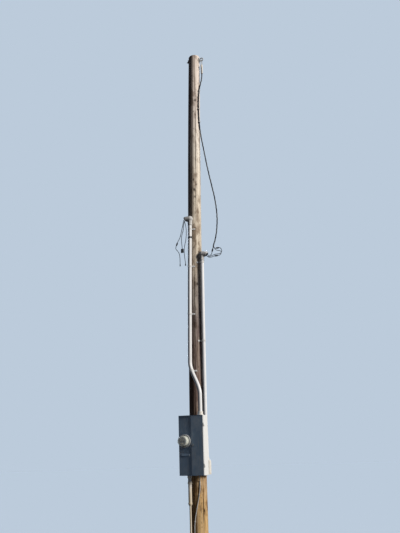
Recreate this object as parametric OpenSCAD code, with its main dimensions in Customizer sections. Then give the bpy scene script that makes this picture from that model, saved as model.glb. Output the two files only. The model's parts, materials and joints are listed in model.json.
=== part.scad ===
// Wooden utility pole with two service risers, a meter panel and its service loop.
// Origin: centre of the pole's cut at ground level. +Z up, -Y out of the panel's front.

/* [Pole] */
// Height of the pole above the ground
pole_h = 7470; // [7300:10:9000]
// Diameter of the trunk at the ground
pole_base_d = 240; // [230:1:260]
// Diameter of the trunk at its top
pole_top_d = 175; // [160:1:190]
// How far the trunk's natural sweep carries its top to the right
pole_sweep = 110; // [80:5:140]

/* [Line hardware] */
// How far the eye bolt sits below the pole's top
eye_bolt_drop = 70; // [50:5:120]
// Diameter of the eye bolt's rod
eye_bolt_d = 16; // [12:1:20]
// Side of the square washers under the eye and the nut
washer_side = 57; // [45:1:70]
// Thickness of the square washers
washer_t = 5; // [3:1:8]
// Length of the wedge clamp that hangs from the eye
clamp_l = 150; // [110:5:180]
// Diameter of the clamp's bail rod
bail_d = 8; // [6:1:10]

/* [Risers] */
// Outside diameter of both riser conduits
riser_d = 56; // [48:0.5:61]
// Height of the left riser's upper end
riser_a_top = 4720; // [4690:5:4750]
// Height of the right riser's upper end
riser_b_top = 4180; // [4150:5:4210]
// Direction of the left riser around the pole at its upper end, degrees from the front
riser_a_turn_top = -5; // [-8:0.5:-2]
// Direction of the left riser around the pole where its offset bend starts
riser_a_turn_low = -17; // [-20:0.5:-14]
// Direction of the right riser around the pole at its upper end
riser_b_turn_top = 67.5; // [64:0.5:71]
// Direction of the right riser around the pole behind the panel
riser_b_turn_low = 74.5; // [71:0.5:78]
// Height at which the left riser's offset bend starts
offset_top = 2650; // [2600:10:2700]
// Height at which the offset bend ends
offset_low = 2180; // [2130:10:2230]
// Thickness of the straps' steel
strap_t = 3; // [2:0.5:4]
// Width of the straps
strap_w = 26; // [20:1:34]
// Angle of the pole that a strap's ear covers, degrees
strap_ear = 33; // [26:1:38]

/* [Service heads] */
// Radius of the collar that clamps a head on its riser
collar_r = 34; // [33:0.5:36]
// Length of that collar
collar_h = 55; // [45:1:60]
// Radius of the head's dome over the riser
dome_r = 44; // [42:0.5:48]
// How far the dome's nose reaches out from the riser's axis
dome_reach = 62; // [58:1:68]
// Diameter of the insulating insert in the mouth
insert_d = 56; // [50:1:60]
// Direction that the left head faces, degrees from +X
head_a_turn = 195; // [185:1:205]
// Direction that the right head faces, degrees from +X
head_b_turn = 4; // [-6:1:14]

/* [Meter panel] */
// Width of the panel
panel_w = 372; // [360:1:390]
// Height of the panel
panel_h = 802; // [780:1:820]
// Depth of the panel's box
panel_d = 146; // [135:1:160]
// Height of the panel's lower edge above the ground
panel_z = 1089; // [1060:1:1120]
// How far the panel's centre lies to the right of the pole's base
panel_shift = 30; // [10:1:50]
// Thickness of the box's sheet steel
sheet_t = 2; // [1.5:0.1:3]
// Width of the breaker side of the panel
breaker_w = 183; // [175:1:190]
// Height of the meter's cover
meter_cover_h = 490; // [470:1:510]
// Depth of the breaker door's folded edge
door_d = 14; // [10:1:18]
// Gap between the closed door and the box
door_gap = 0.8; // [0.4:0.1:1.5]
// Gap between the door's free edge and the meter's side
door_edge_gap = 5; // [4:0.5:8]
// Diameter of the door's hinge pins
pin_d = 5; // [4:0.5:6]
// Outside diameter of the hinge barrels
barrel_d = 10; // [9:0.5:12]

/* [Meter] */
// Outside diameter of the meter's sealing ring
ring_d = 178; // [172:1:182]
// Depth of the sealing ring
ring_h = 24; // [18:1:30]
// Outside diameter of the glass at its base
glass_d = 158; // [150:1:162]
// How far the glass stands out of the ring
glass_h = 88; // [80:1:100]
// Wall of the glass
glass_t = 3; // [2.5:0.1:4]
// Drop of the meter's centre below the panel's top
meter_drop = 343; // [328:1:361]

/* [Lower conduit and earth wire] */
// Outside diameter of the conduit below the panel
drain_d = 48; // [44:0.5:50]
// Outside diameter of the slimmer conduit that goes into the ground
stub_d = 27; // [21:0.5:34]
// Height of the reducing coupling's middle
coupling_z = 716; // [680:1:760]
// Diameter of the armoured earth wire
earth_d = 12; // [9:0.5:14]

/* [Mounting] */
// Depth of the channels behind the panel
channel_d = 21; // [18:0.5:25]
// Height of the channels
channel_h = 41; // [35:1:45]
// Diameter of the lag bolts through the channels
lag_d = 12; // [10:0.5:14]
// Distance of each channel from the panel's upper or lower edge
channel_inset = 150; // [120:5:190]

/* [Cords] */
// Diameter of the service loop's bundle
loop_d = 20; // [18:0.5:22]
// Diameter of the single conductors at the heads
wire_d = 9; // [8:0.5:10]

/* [Hidden] */

eps = 0.01;
// Clearance between pieces that seat on each other
seat = 0.3;
// Clearance of a bolt in its hole, on the radius
bolt_fit = 0.1;
// Clearance of the hinge pins in their barrels, on the radius
hinge_fit = 0.08;
$fn = 64;

// The trunk's radius and its centre line at a height
function pole_r(z) = (pole_base_d + (pole_top_d - pole_base_d) * z / pole_h) / 2;
function pole_x(z) = pole_sweep * pow(z / pole_h, 2);
// A point that stands off the trunk's surface, turned from the front towards the right
function on_pole(z, turn, stand) =
    [pole_x(z) + (pole_r(z) + stand) * sin(turn), -(pole_r(z) + stand) * cos(turn), z];
function unit(v) = v / norm(v);
function smooth(t) = t * t * (3 - 2 * t);
function turned(v, a) = [v[0] * cos(a) - v[1] * sin(a), v[0] * sin(a) + v[1] * cos(a), v[2]];

// Panel and what it hangs from
panel_top = panel_z + panel_h;
panel_x0 = panel_shift - panel_w / 2;
panel_x1 = panel_shift + panel_w / 2;
channel_zs = [panel_z + channel_inset, panel_top - channel_inset];
panel_back = -(pole_r(channel_zs[0]) + 2 * seat + channel_d);
panel_front = panel_back - panel_d;
panel_mid_y = (panel_back + panel_front) / 2;
corner_r = 8;
lag_depth = 70;
bolt_xs = [panel_x0 + 34, panel_x1 - 34];
divider_x = panel_x1 - breaker_w;
meter_x = (panel_x0 + divider_x) / 2;

// Covers and meter
cover_t = 2;
cover_y = panel_front - seat;
cover_x0 = panel_x0 + 1.5;
cover_x1 = divider_x - 1;
meter_cover_low = panel_top - meter_cover_h;
meter_z = panel_top - meter_drop;
seat_h = 5;
ring_y = cover_y - cover_t - seat_h - seat;
base_h = ring_h - 10 - seat;
glass_y0 = base_h + seat;
lip_h = 38;
lip_z = meter_cover_low - lip_h - 14;

// Breakers
dead_y = panel_front + 20;
dead_x0 = divider_x + sheet_t / 2 + seat;
dead_x1 = panel_x1 - sheet_t - seat;
breaker_x = (dead_x0 + dead_x1) / 2;
main_w = 96;
main_h = 128;
main_drop = 150;
main_z = panel_top - main_drop;
branch_w = 132;
branch_pitch = 27;
branch_rows = 8;
branch_drop = 2 * main_drop;
branch_low_z = panel_top - branch_drop - branch_rows * branch_pitch;
breaker_depth = panel_back - sheet_t - seat - dead_y + 3;

// Door and its hinges
door_x0 = divider_x - 1 + door_edge_gap;
door_x1 = panel_x1 - 2;
door_z0 = panel_z + 2;
door_z1 = panel_top - 2;
door_y = panel_front - door_gap;
hinge_x = panel_x1 + barrel_d / 2 + seat;
hinge_y = door_y - door_d / 2;
hinge_zs = [panel_z + 130, panel_top - 130];
barrel_h = 24;

// Risers
strap_r = riser_d / 2 + seat + strap_t;
strap_foot_w = strap_w - 11;
strap_ear_w = strap_w - 4;
riser_stand = strap_r + seat + 0.4;
head_stand = dome_r + 2;
head_run = collar_h + 8;
hub_x = panel_x1 - 71;
hub_y = panel_mid_y;
hub_h = 52;
nipple_r = riser_d / 2 + 2;
locknut_r = nipple_r + 7;
riser_a_end = panel_top + hub_h - 20;
offset_step = (offset_top - offset_low) / 16;
leg_step = 300;
strap_a_zs = [offset_top - 4.5 * offset_step, 3336, 4042, riser_a_top - 110];
strap_b_zs = [1580, 2945, riser_b_top - 78];
band_drop = 244;
band_z = riser_a_top - band_drop;

body_z = panel_z + 7;
body_w = 2 * nipple_r + 10;
body_bulge = 14;
body_h = 190;
body_neck = 34;
body_x = pole_x(body_z) + pole_r(body_z) + 1.6 + body_w / 2;
body_y = -42;
outlet_z = panel_z + sheet_t + locknut_r + 5;
turn_b_top = 1830;
turn_b_low = body_z + body_h + body_neck + 60;

// A riser leans away from the tapering pole towards its top, so that its head clears it
function leg(z, low, top, turn_low, turn_top) =
    let (t = (min(z, top - head_run) - low) / (top - head_run - low),
        p = on_pole(min(z, top - head_run), turn_low + (turn_top - turn_low) * t,
            riser_stand + (head_stand - riser_stand) * max(0, t)))
    [p[0], p[1], z];
function shifted(p, x, y, t) =
    let (s = smooth(min(1, max(0, t)))) [p[0] * (1 - s) + x * s, p[1] * (1 - s) + y * s, p[2]];
function riser_a_at(z) = shifted(leg(z, offset_top, riser_a_top, riser_a_turn_low, riser_a_turn_top),
    hub_x, hub_y, (offset_top - z) / (offset_top - offset_low));
function riser_b_at(z) = shifted(leg(z, turn_b_top, riser_b_top, riser_b_turn_low, riser_b_turn_top),
    body_x, body_y, (turn_b_top - z) / (turn_b_top - turn_b_low));

head_a_at = riser_a_at(riser_a_top) + [0, 0, seat];
head_b_at = riser_b_at(riser_b_top) + [0, 0, seat];
riser_a_zs = concat([riser_a_top],
    [for (z = [riser_a_top - head_run:-leg_step:offset_top + leg_step / 2]) z],
    [for (k = [0:16]) offset_top - k * offset_step], [riser_a_end]);
riser_b_zs = concat([riser_b_top],
    [for (z = [riser_b_top - head_run:-leg_step:turn_b_top + leg_step / 2]) z],
    [for (k = [0:8]) turn_b_top - k * (turn_b_top - turn_b_low) / 8], [body_z + body_h + 4]);
riser_a_route = [for (z = riser_a_zs) riser_a_at(z)];
riser_b_route = [for (z = riser_b_zs) riser_b_at(z)];

// Service heads
dome_rise = dome_r - 2;
nose_r = dome_r - 6;
nose = [dome_reach, 0, dome_rise - 2];
mouth_out = [sin(45), 0, -cos(45)];
mouth_up = [cos(45), 0, sin(45)];
mouth_depth = 15;
insert_at = nose + mouth_depth * mouth_out - 4 * mouth_up;
insert_h = 10;
recess = 14;
// A point at a head's mouth: up and across its plane, then out of it
function at_mouth(head_at, turn, a, b, c) =
    head_at + turned(insert_at + a * mouth_up + b * [0, 1, 0] + c * mouth_out, turn);

// Line hardware
eye_bolt_z = pole_h - eye_bolt_drop;
eye_r = 24;
// The trunk slants, so each washer touches it with the edge that meets it first
eye_side_z = eye_bolt_z + washer_side / 2;
nut_side_z = eye_bolt_z - washer_side / 2;
eye_side_x = pole_x(eye_side_z) + pole_r(eye_side_z) + seat;
nut_side_x = pole_x(nut_side_z) - pole_r(nut_side_z) - seat;
eye_x = eye_side_x + washer_t + 1 + eye_r + eye_bolt_d / 2;
nut_h = 13;
bail_r = 21;
bail_leg = 85;
leg_top_z = eye_bolt_z - eye_r + (eye_bolt_d + bail_d) / 2 + seat - bail_r;
clamp_grip = 22;
clamp_top_z = leg_top_z - bail_leg + clamp_grip;
clamp_low_z = clamp_top_z - clamp_l;
clamp_w = 2 * bail_r - bail_d - 2 * seat;
clamp_t = 30;

// Conduit below the panel
drain_x = -38;
drain_y = panel_mid_y;
drain_top = panel_z - seat;
drain_hub_h = 34;
collar_z = 993;
coupling_h = 40;
stub_end_z = coupling_z - coupling_h / 2 - 1;
spigot_d = stub_d - 1.6;

// Earth wire
earth_exit = [87, panel_back - 22];
earth_stand = earth_d / 2 + 1;
earth_low_z = 970;
earth_foot_z = 380;
function earth_turn(z) =
    -9 + 41 * smooth(min(1, max(0, (z - earth_foot_z) / (earth_low_z - earth_foot_z))));
earth_foot = on_pole(0, earth_turn(0), earth_stand);
earth_route = concat(
    [[earth_exit[0], earth_exit[1], panel_z + 24], [earth_exit[0], earth_exit[1], panel_z - 8]],
    [for (z = [earth_low_z + 40:-35:earth_foot_z]) on_pole(z, earth_turn(z), earth_stand)],
    [for (z = [300, 150]) on_pole(z, earth_turn(z), earth_stand)],
    [earth_foot + [0, 0, 12], earth_foot]);
earth_staple_zs = [90, 300, 480, 655, 830];

// Service loop: how far down from the clamp to its end, direction round the pole, stand from its surface
loop_table = [
    [0.984, 89.6, 34], [0.963, 88.2, 29], [0.943, 85.5, 16.5], [0.921, 81.4, 8],
    [0.895, 74.2, 3.2], [0.862, 68.5, 2.2], [0.823, 66.8, 2], [0.784, 66.7, 2], [0.744, 69.2, 2],
    [0.708, 73.3, 2.4], [0.673, 79.1, 4.5], [0.633, 84.1, 13.5], [0.594, 86.6, 31], [0.544, 87.9, 56.5],
    [0.463, 88.3, 99], [0.39, 88.2, 142], [0.322, 88, 186], [0.252, 88, 228], [0.184, 87.8, 254.5],
    [0.1425, 87.5, 262], [0.107, 87.2, 260], [0.067, 86.8, 251]];
loop_end = head_b_at + [194, 14, 182];
loop_fall = unit([-26, -2, -78]);
function loop_z(f) = loop_end[2] + f * (clamp_low_z - loop_end[2]);
loop_points = concat([[eye_x, 0, clamp_low_z - seat], [eye_x, 0, clamp_low_z - 20]],
    [for (q = loop_table) on_pole(loop_z(q[0]), q[1], loop_d / 2 + q[2])],
    [loop_end - 60 * loop_fall, loop_end - 25 * loop_fall, loop_end]);
loop_clip_fs = [0.895, 0.784, 0.708];

// Wires: points from the mouth of their head
mouth_a = at_mouth(head_a_at, head_a_turn, 0, 0, 0);
mouth_b = at_mouth(head_b_at, head_b_turn, 0, 0, 0);
wire_seats = [[12, 0], [-8, 11], [-8, -11]];
wire_in = insert_h + 2 * seat - recess;
function start_a(k) = [for (c = [wire_in, 6, 22])
    at_mouth(head_a_at, head_a_turn, wire_seats[k][0], wire_seats[k][1], c)];
function start_b(k) = [for (c = [wire_in, 6, 22])
    at_mouth(head_b_at, head_b_turn, wire_seats[k][0], wire_seats[k][1], c)];
// Points on a straight stretch where a connector sits, from its upper end to its lower
function stretch(c, v, half) = [for (s = [half + 12, half, -half, -half - 12]) c + s * v];
function upward(c, v) =
    [for (s = [-sleeve_half - 12, -sleeve_half, sleeve_half, sleeve_half + 12]) c + s * v];
sleeve_half = 24;
a1_sleeve = [-146, 6, -352];
a1_lean = unit([0.4, 0, 0.92]);
b1_sleeve = [97, 6, 58];
b1_lean = unit([0.259, 0.02, 0.966]);
b2_sleeve = [184, -14, 76];
b3_sleeve = [148, 22, -29];
level = [1, 0, 0];
block_at = [-59, 2, -464];
block_h = 57;
cap_h = 30;
cap_in = 22;
a1_end = [-101, 8, -685];
a3_end = [-17, 14, -685];

wire_a1_route = concat(start_a(0), [for (p = concat(
    [[-42, 2, -76], [-53, 3, -115], [-66, 4, -160], [-78, 5, -208], [-94, 6, -255], [-113, 6, -290]],
    stretch(a1_sleeve, a1_lean, sleeve_half),
    [[-165, 6, -408], [-159, 6, -428], [-145, 7, -446], [-129, 7, -466], [-115, 8, -492], [-106, 8, -526],
    [-102, 8, -580], [-101, 8, -640], a1_end])) mouth_a + p]);
wire_a2_route = concat(start_a(1), [for (p = [
    [-22, -10, -78], [-27, -8, -120], [-36, -6, -165], [-50, -4, -203], [-62, -2, -245], [-67, 0, -295],
    [-66, 2, -345], [-61, 2, -392], [-59, 2, -420],
    block_at + [0, 0, block_h / 2 - 12 + seat]]) mouth_a + p]);
wire_a3_route = concat(start_a(2), [for (p = [
    [-4, 13, -62], [3, 14, -100], [7, 14, -155], [5, 14, -230], [-3, 14, -300], [-18, 14, -362],
    [-31, 14, -425], [-33, 14, -500], [-25, 14, -590], [-18, 14, -640], a3_end]) mouth_a + p]);

// The three strands leave the loop's end side by side
loop_side = unit([-loop_fall[2], 0, loop_fall[0]]);
function end_b(a) = [for (s = [30, 14, seat])
    loop_end + s * loop_fall + 0.6 * wire_d * (cos(a) * loop_side + sin(a) * [0, 1, 0])];
wire_b1_route = concat(start_b(0), [for (p = concat(
    [[37, 0, -15], [53, 1, -17.5], [67.5, 2, -12.7], [78, 3, -3.7], [84.3, 4, 9.2]],
    upward(b1_sleeve, b1_lean))) mouth_b + p], end_b(180));
wire_b2_route = concat(start_b(2), [for (p = concat(
    [[30, -12, -34], [56, -13, -37], [88, -14, -30], [124, -14, -20], [160, -14, -14], [196, -14, -16],
    [224, -14, -13], [243, -14, 3], [250, -14, 28], [242, -14, 54]],
    stretch(b2_sleeve, level, sleeve_half),
    [[136, -12, 82], [122, -7, 94], [116, 0, 110]])) mouth_b + p], end_b(-60));
wire_b3_route = concat(start_b(1), [for (p = concat(
    [[30, 14, -37], [56, 18, -42], [84, 21, -38]], upward(b3_sleeve, level),
    [[204, 22, -24], [222, 22, -8], [227, 23, 14], [216, 24, 34], [194, 24, 44], [168, 24, 50],
    [146, 22, 62], [130, 20, 80], [120, 17, 102]])) mouth_b + p], end_b(60));

// A closed tube along a route
function tangent(p, i) = unit(p[min(i + 1, len(p) - 1)] - p[max(i - 1, 0)]);
function ring_of(c, t, r, sides) =
    let (s = unit(cross(t, [0, 1, 0])), u = cross(s, t))
    [for (k = [0:sides - 1]) c + r * (cos(360 * k / sides) * s + sin(360 * k / sides) * u)];

module tube(p, r, sides) {
    n = len(p);
    points = [for (i = [0:n - 1]) each ring_of(p[i], tangent(p, i), r, sides)];
    skin = [for (i = [0:n - 2], k = [0:sides - 1])
        let (a = i * sides, b = (i + 1) * sides, m = (k + 1) % sides)
        [a + k, a + m, b + m, b + k]];
    first = [for (k = [sides - 1:-1:0]) k];
    last = [for (k = [0:sides - 1]) (n - 1) * sides + k];
    polyhedron(points = points, faces = concat(skin, [first, last]), convexity = 6);
}

// A smooth curve through a cord's points, as many steps for each span
function between(a, b, c, d, t) =
    (2 * b + (c - a) * t + (2 * a - 5 * b + 4 * c - d) * t * t + (3 * b - a - 3 * c + d) * t * t * t) / 2;
function curve(p, steps) = [
    for (i = [0:len(p) - 2], s = [0:steps - 1])
        between(p[max(i - 1, 0)], p[i], p[i + 1], p[min(i + 2, len(p) - 1)], s / steps),
    p[len(p) - 1]];

module cord(p, d) {
    tube(curve(p, 2), d / 2, 8);
}

// Turns +Z to a direction
module along(v) {
    rotate([0, acos(v[2] / norm(v)), atan2(v[1], v[0])]) children();
}

// A rectangle with rounded corners
module rounded_box(w, d, r) {
    square([w - 2 * r, d], center = true);
    square([w, d - 2 * r], center = true);
    for (x = [-1, 1], y = [-1, 1])
        translate([x * (w / 2 - r), y * (d / 2 - r)]) circle(r = r, $fn = 32);
}

// A rounded plate or prism seen from the front, from one depth to another
module front_slab(x0, x1, z0, z1, y_from, y_to, r) {
    translate([(x0 + x1) / 2, y_from, (z0 + z1) / 2]) rotate([90, 0, 0])
        linear_extrude(y_from - y_to) rounded_box(x1 - x0, z1 - z0, r);
}

// Pole

module trunk() {
    sides = 48;
    rings = 20;
    points = [for (i = [0:rings], k = [0:sides - 1])
        let (z = pole_h * i / rings)
        [pole_x(z) + pole_r(z) * cos(360 * k / sides), pole_r(z) * sin(360 * k / sides), z]];
    skin = [for (i = [0:rings - 1], k = [0:sides - 1])
        let (a = i * sides, b = a + sides, m = (k + 1) % sides)
        [a + k, b + k, b + m, a + m]];
    foot = [for (k = [0:sides - 1]) k];
    top = [for (k = [sides - 1:-1:0]) rings * sides + k];
    polyhedron(points = points, faces = concat(skin, [foot, top]), convexity = 2);
}

module pole() {
    color("tan")
    difference() {
        trunk();
        translate([pole_x(eye_bolt_z) - pole_base_d, 0, eye_bolt_z])
            rotate([0, 90, 0]) cylinder(h = 2 * pole_base_d, d = eye_bolt_d + 2 * bolt_fit);
        for (z = channel_zs)
            translate([pole_x(z), -pole_r(z) - seat, z])
                rotate([-90, 0, 0]) cylinder(h = lag_depth, d = lag_d + 2 * bolt_fit);
    }
}

// Eye bolt through the top, its washers and nut

module eye_bolt() {
    rod_end = nut_side_x - washer_t - nut_h - 14;
    color("silver")
    union() {
        translate([rod_end, 0, eye_bolt_z]) rotate([0, 90, 0])
            cylinder(h = eye_x - eye_r - rod_end, d = eye_bolt_d);
        translate([eye_x, 0, eye_bolt_z]) rotate([90, 0, 0])
            rotate_extrude() translate([eye_r, 0]) circle(d = eye_bolt_d);
    }
}

module square_washer(x) {
    translate([x, 0, eye_bolt_z]) rotate([0, 90, 0])
        difference() {
            translate([0, 0, washer_t / 2]) cube([washer_side, washer_side, washer_t], center = true);
            translate([0, 0, -1]) cylinder(h = washer_t + 2, d = eye_bolt_d + 2 * bolt_fit);
        }
}

module eye_bolt_nut() {
    color("gray")
    union() {
        square_washer(eye_side_x);
        square_washer(nut_side_x - washer_t);
        translate([nut_side_x - washer_t - nut_h + eps, 0, eye_bolt_z]) rotate([0, 90, 0])
            difference() {
                cylinder(h = nut_h, d = eye_bolt_d * 1.8, $fn = 6);
                translate([0, 0, -1]) cylinder(h = nut_h + 2, d = eye_bolt_d + 2 * bolt_fit);
            }
    }
}

// Wedge clamp, hung by its bail from the eye

module clamp_bail() {
    color("silver")
    translate([eye_x, 0, 0])
    union() {
        translate([0, 0, leg_top_z]) rotate([90, 0, 90])
            rotate_extrude(angle = 180) translate([bail_r, 0]) circle(d = bail_d, $fn = 32);
        for (side = [-1, 1])
            translate([0, side * bail_r, leg_top_z - bail_leg])
                cylinder(h = bail_leg + eps, d = bail_d, $fn = 32);
    }
}

module wedge_clamp() {
    color("darkgray")
    translate([eye_x, 0, clamp_low_z])
    union() {
        // body that narrows towards its lower end
        rotate([0, -90, 0]) translate([0, 0, -clamp_t / 2]) linear_extrude(clamp_t)
            polygon([[0, 7 - clamp_w / 2], [clamp_l, -clamp_w / 2],
                [clamp_l, clamp_w / 2], [0, clamp_w / 2 - 7]]);
        // lugs that the bail's legs end in
        for (side = [-1, 1])
            translate([-6, side * (clamp_w / 2 + 6) - 8, clamp_l - clamp_grip - 12 - seat])
                cube([12, 16, 12]);
    }
}

// Risers

module riser_a() {
    color("lightgray") tube(riser_a_route, riser_d / 2, 32);
}

module riser_b() {
    color("lightgray") tube(riser_b_route, riser_d / 2, 32);
}

// One strap: a band around the riser, a foot to the pole and an ear bent round the pole
module strap(a, b, ear_turn) {
    p = (a + b) / 2;
    v = a - b;
    z = p[2];
    turn = atan2(p[0] - pole_x(z), -p[1]);
    reach = norm([p[0] - pole_x(z), p[1]]);
    difference() {
        union() {
            translate(p) along(v) cylinder(h = strap_w, r = strap_r, center = true);
            translate([pole_x(z), 0, z]) rotate([0, 0, turn])
                translate([-2 * strap_t, -reach, -strap_foot_w / 2]) cube([4 * strap_t, reach, strap_foot_w]);
            translate([pole_x(z), 0, z - strap_ear_w / 2]) rotate([0, 0, turn - 90 + min(0, ear_turn)])
                rotate_extrude(angle = abs(ear_turn))
                    translate([pole_r(z) - 1, 0]) square([seat + strap_t + 1, strap_ear_w]);
            // head of the screw through the ear
            translate([pole_x(z), 0, z]) rotate([0, 0, turn + ear_turn * 0.8])
                translate([0, -pole_r(z), 0]) rotate([90, 0, 0]) cylinder(h = seat + strap_t + 4, d = 13);
        }
        translate(p) along(v) cylinder(h = 4 * strap_w, r = riser_d / 2 + seat, center = true);
        translate([pole_x(z), 0, z - strap_w]) rotate([0, 0, turn + 90])
            cylinder(h = 2 * strap_w, r = pole_r(z) + seat, $fn = 96);
    }
}

module riser_a_straps() {
    half = offset_step / 2;
    color("gainsboro")
    for (z = strap_a_zs) strap(riser_a_at(z + half), riser_a_at(z - half), strap_ear);
}

module riser_b_straps() {
    half = offset_step / 2;
    color("gainsboro")
    for (z = strap_b_zs) strap(riser_b_at(z + half), riser_b_at(z - half), -strap_ear);
}

// Black band around the left riser
module riser_a_band() {
    color("black")
    translate(riser_a_at(band_z)) along(riser_a_at(band_z + 8) - riser_a_at(band_z - 8))
        difference() {
            cylinder(h = 26, r = riser_d / 2 + seat + 2.5, center = true);
            cylinder(h = 28, r = riser_d / 2 + seat, center = true);
        }
}

// Service heads: a collar on the riser and a dome whose nose hangs over the mouth

module head() {
    difference() {
        union() {
            difference() {
                hull() {
                    translate([0, 0, dome_rise]) sphere(r = dome_r, $fn = 32);
                    translate(nose) sphere(r = nose_r, $fn = 32);
                }
                translate(nose + mouth_depth * mouth_out) rotate([0, 135, 0])
                    translate([-150, -150, 0]) cube(300);
                translate(insert_at) rotate([0, 135, 0])
                    translate([0, 0, -recess]) cylinder(h = recess + 40, d = insert_d + 2 * seat);
            }
            translate([0, 0, -collar_h]) cylinder(h = collar_h + 14, r = collar_r);
        }
        translate([0, 0, -collar_h - 1]) cylinder(h = collar_h + 1, d = riser_d + 2 * seat);
    }
}

module head_insert() {
    translate(insert_at) rotate([0, 135, 0])
        translate([0, 0, seat - recess]) cylinder(h = insert_h, d = insert_d);
}

module riser_a_head() {
    color("dimgray") translate(head_a_at) rotate([0, 0, head_a_turn]) head();
}

module riser_a_insert() {
    color("black") translate(head_a_at) rotate([0, 0, head_a_turn]) head_insert();
}

module riser_b_head() {
    color("dimgray") translate(head_b_at) rotate([0, 0, head_b_turn]) head();
}

module riser_b_insert() {
    color("black") translate(head_b_at) rotate([0, 0, head_b_turn]) head_insert();
}

// Watertight hub where the left riser enters the panel's top
module riser_a_hub() {
    color("lightgray")
    translate([hub_x, hub_y, panel_top])
    difference() {
        union() {
            translate([0, 0, seat]) cylinder(h = 14, r = nipple_r + 13);
            translate([0, 0, seat]) cylinder(h = hub_h, r = nipple_r + 7);
            translate([0, 0, -sheet_t - 14]) cylinder(h = sheet_t + 15, r = nipple_r);
            translate([0, 0, -sheet_t - 8 - seat]) cylinder(h = 8, r = locknut_r);
        }
        translate([0, 0, -sheet_t - 15]) cylinder(h = 100, r = riser_d / 2 - 2);
        translate([0, 0, riser_a_end - panel_top - seat]) cylinder(h = hub_h, r = riser_d / 2 + seat);
    }
}

// Conduit body that turns the right riser into the panel's back
module conduit_body() {
    color("silver")
    difference() {
        union() {
            translate([body_x + body_bulge / 2, body_y, body_z])
                linear_extrude(body_h) rounded_box(body_w + body_bulge, body_w, 12);
            translate([body_x, body_y, body_z + body_h - 1])
                cylinder(h = body_neck / 2 + 1, r1 = body_w / 2 - 1, r2 = riser_d / 2 + 6);
            translate([body_x, body_y, body_z + body_h])
                cylinder(h = body_neck, r = riser_d / 2 + 6);
            translate([body_x, body_y, outlet_z]) rotate([90, 0, 0])
                cylinder(h = body_y - panel_back - seat, r = nipple_r + 5);
            translate([body_x, body_y, outlet_z]) rotate([90, 0, 0])
                cylinder(h = body_y - panel_back + sheet_t + 10, r = nipple_r);
            translate([body_x, panel_back - sheet_t - seat, outlet_z]) rotate([90, 0, 0])
                cylinder(h = 8, r = locknut_r);
        }
        translate([body_x, body_y, body_z + body_h + 4 - seat])
            cylinder(h = body_neck + 10, r = riser_d / 2 + seat);
    }
}

module conduit_body_cover() {
    color("gainsboro")
    translate([body_x + body_w / 2 + body_bulge + seat, body_y, body_z + body_h / 2]) rotate([0, 90, 0])
        linear_extrude(3) rounded_box(body_h - 20, body_w - 24, 10);
}

// Wires at the heads and their connectors

module wire_a1() {
    color("black") cord(wire_a1_route, wire_d);
}

module wire_a2() {
    color("black") cord(wire_a2_route, wire_d);
}

module wire_a3() {
    color("silver") cord(wire_a3_route, wire_d);
}

module wire_b1() {
    color("black") cord(wire_b1_route, wire_d);
}

module wire_b2() {
    color("black") cord(wire_b2_route, wire_d);
}

module wire_b3() {
    color("silver") cord(wire_b3_route, wire_d);
}

// A sleeve over a straight stretch of a wire
module sleeve(c, v) {
    translate(c) along(v)
        difference() {
            union() {
                cylinder(h = 2 * sleeve_half, r = wire_d / 2 + 5, center = true);
                cylinder(h = sleeve_half, r = wire_d / 2 + 7, center = true);
            }
            cylinder(h = 3 * sleeve_half, r = wire_d / 2 + seat, center = true);
        }
}

// A cap over a wire's hanging end
module cap(p) {
    translate(p + [0, 0, cap_in - cap_h])
        difference() {
            cylinder(h = cap_h, r = wire_d / 2 + 3);
            translate([0, 0, cap_h - cap_in - seat]) cylinder(h = cap_h, r = wire_d / 2 + seat);
        }
}

module connectors_a() {
    color("dimgray")
    union() {
        sleeve(mouth_a + a1_sleeve, a1_lean);
        cap(mouth_a + a1_end);
        cap(mouth_a + a3_end);
        translate(mouth_a + block_at - [0, 0, block_h / 2])
            difference() {
                linear_extrude(block_h) rounded_box(38, 26, 5);
                translate([0, 0, block_h - 12]) cylinder(h = 20, r = wire_d / 2 + seat);
            }
    }
}

module connectors_b() {
    color("dimgray")
    union() {
        sleeve(mouth_b + b1_sleeve, b1_lean);
        sleeve(mouth_b + b2_sleeve, level);
        sleeve(mouth_b + b3_sleeve, level);
    }
}

// Service loop and its clips

module service_loop() {
    color("black") cord(loop_points, loop_d);
}

// A staple over a round wire that lies against the pole
module staple(z, turn, d, w) {
    translate([pole_x(z), 0, z]) rotate([0, 0, turn])
        difference() {
            translate([-d / 2 - 3.5, -pole_r(z) - d - 6, -w / 2]) cube([d + 7, d + 6, w]);
            translate([-d / 2 - 1.5, -pole_r(z) - d - 3.2, -w]) cube([d + 3, d + 3.2, 2 * w]);
            translate([0, 0, -w]) cylinder(h = 2 * w, r = pole_r(z) + seat, $fn = 96);
        }
}

module loop_clips() {
    color("gray")
    for (q = loop_table)
        if (search(q[0], loop_clip_fs)) staple(loop_z(q[0]), q[1], loop_d, 12);
}

// Panel

// Walls of the case, with the drip edge over the covers
module panel_box() {
    color("lightsteelblue")
    difference() {
        union() {
            front_slab(panel_x0, panel_x1, panel_z, panel_top, panel_back, panel_front, corner_r);
            translate([panel_x0 + corner_r, panel_front - door_d - 4, panel_top - sheet_t / 2])
                cube([panel_w - 2 * corner_r, door_d + 30, sheet_t]);
        }
        front_slab(panel_x0 + sheet_t, panel_x1 - sheet_t, panel_z + sheet_t, panel_top - sheet_t,
            panel_back + 1, panel_front - 1, corner_r - sheet_t);
        translate([hub_x, hub_y, panel_top - 2 * sheet_t])
            cylinder(h = 4 * sheet_t, r = nipple_r + seat);
        translate([drain_x, drain_y, panel_z - sheet_t])
            cylinder(h = 4 * sheet_t, r = drain_d / 2 + 2 + seat);
        translate([earth_exit[0], earth_exit[1], panel_z - sheet_t])
            cylinder(h = 4 * sheet_t, d = earth_d + 2 * seat);
    }
}

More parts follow.
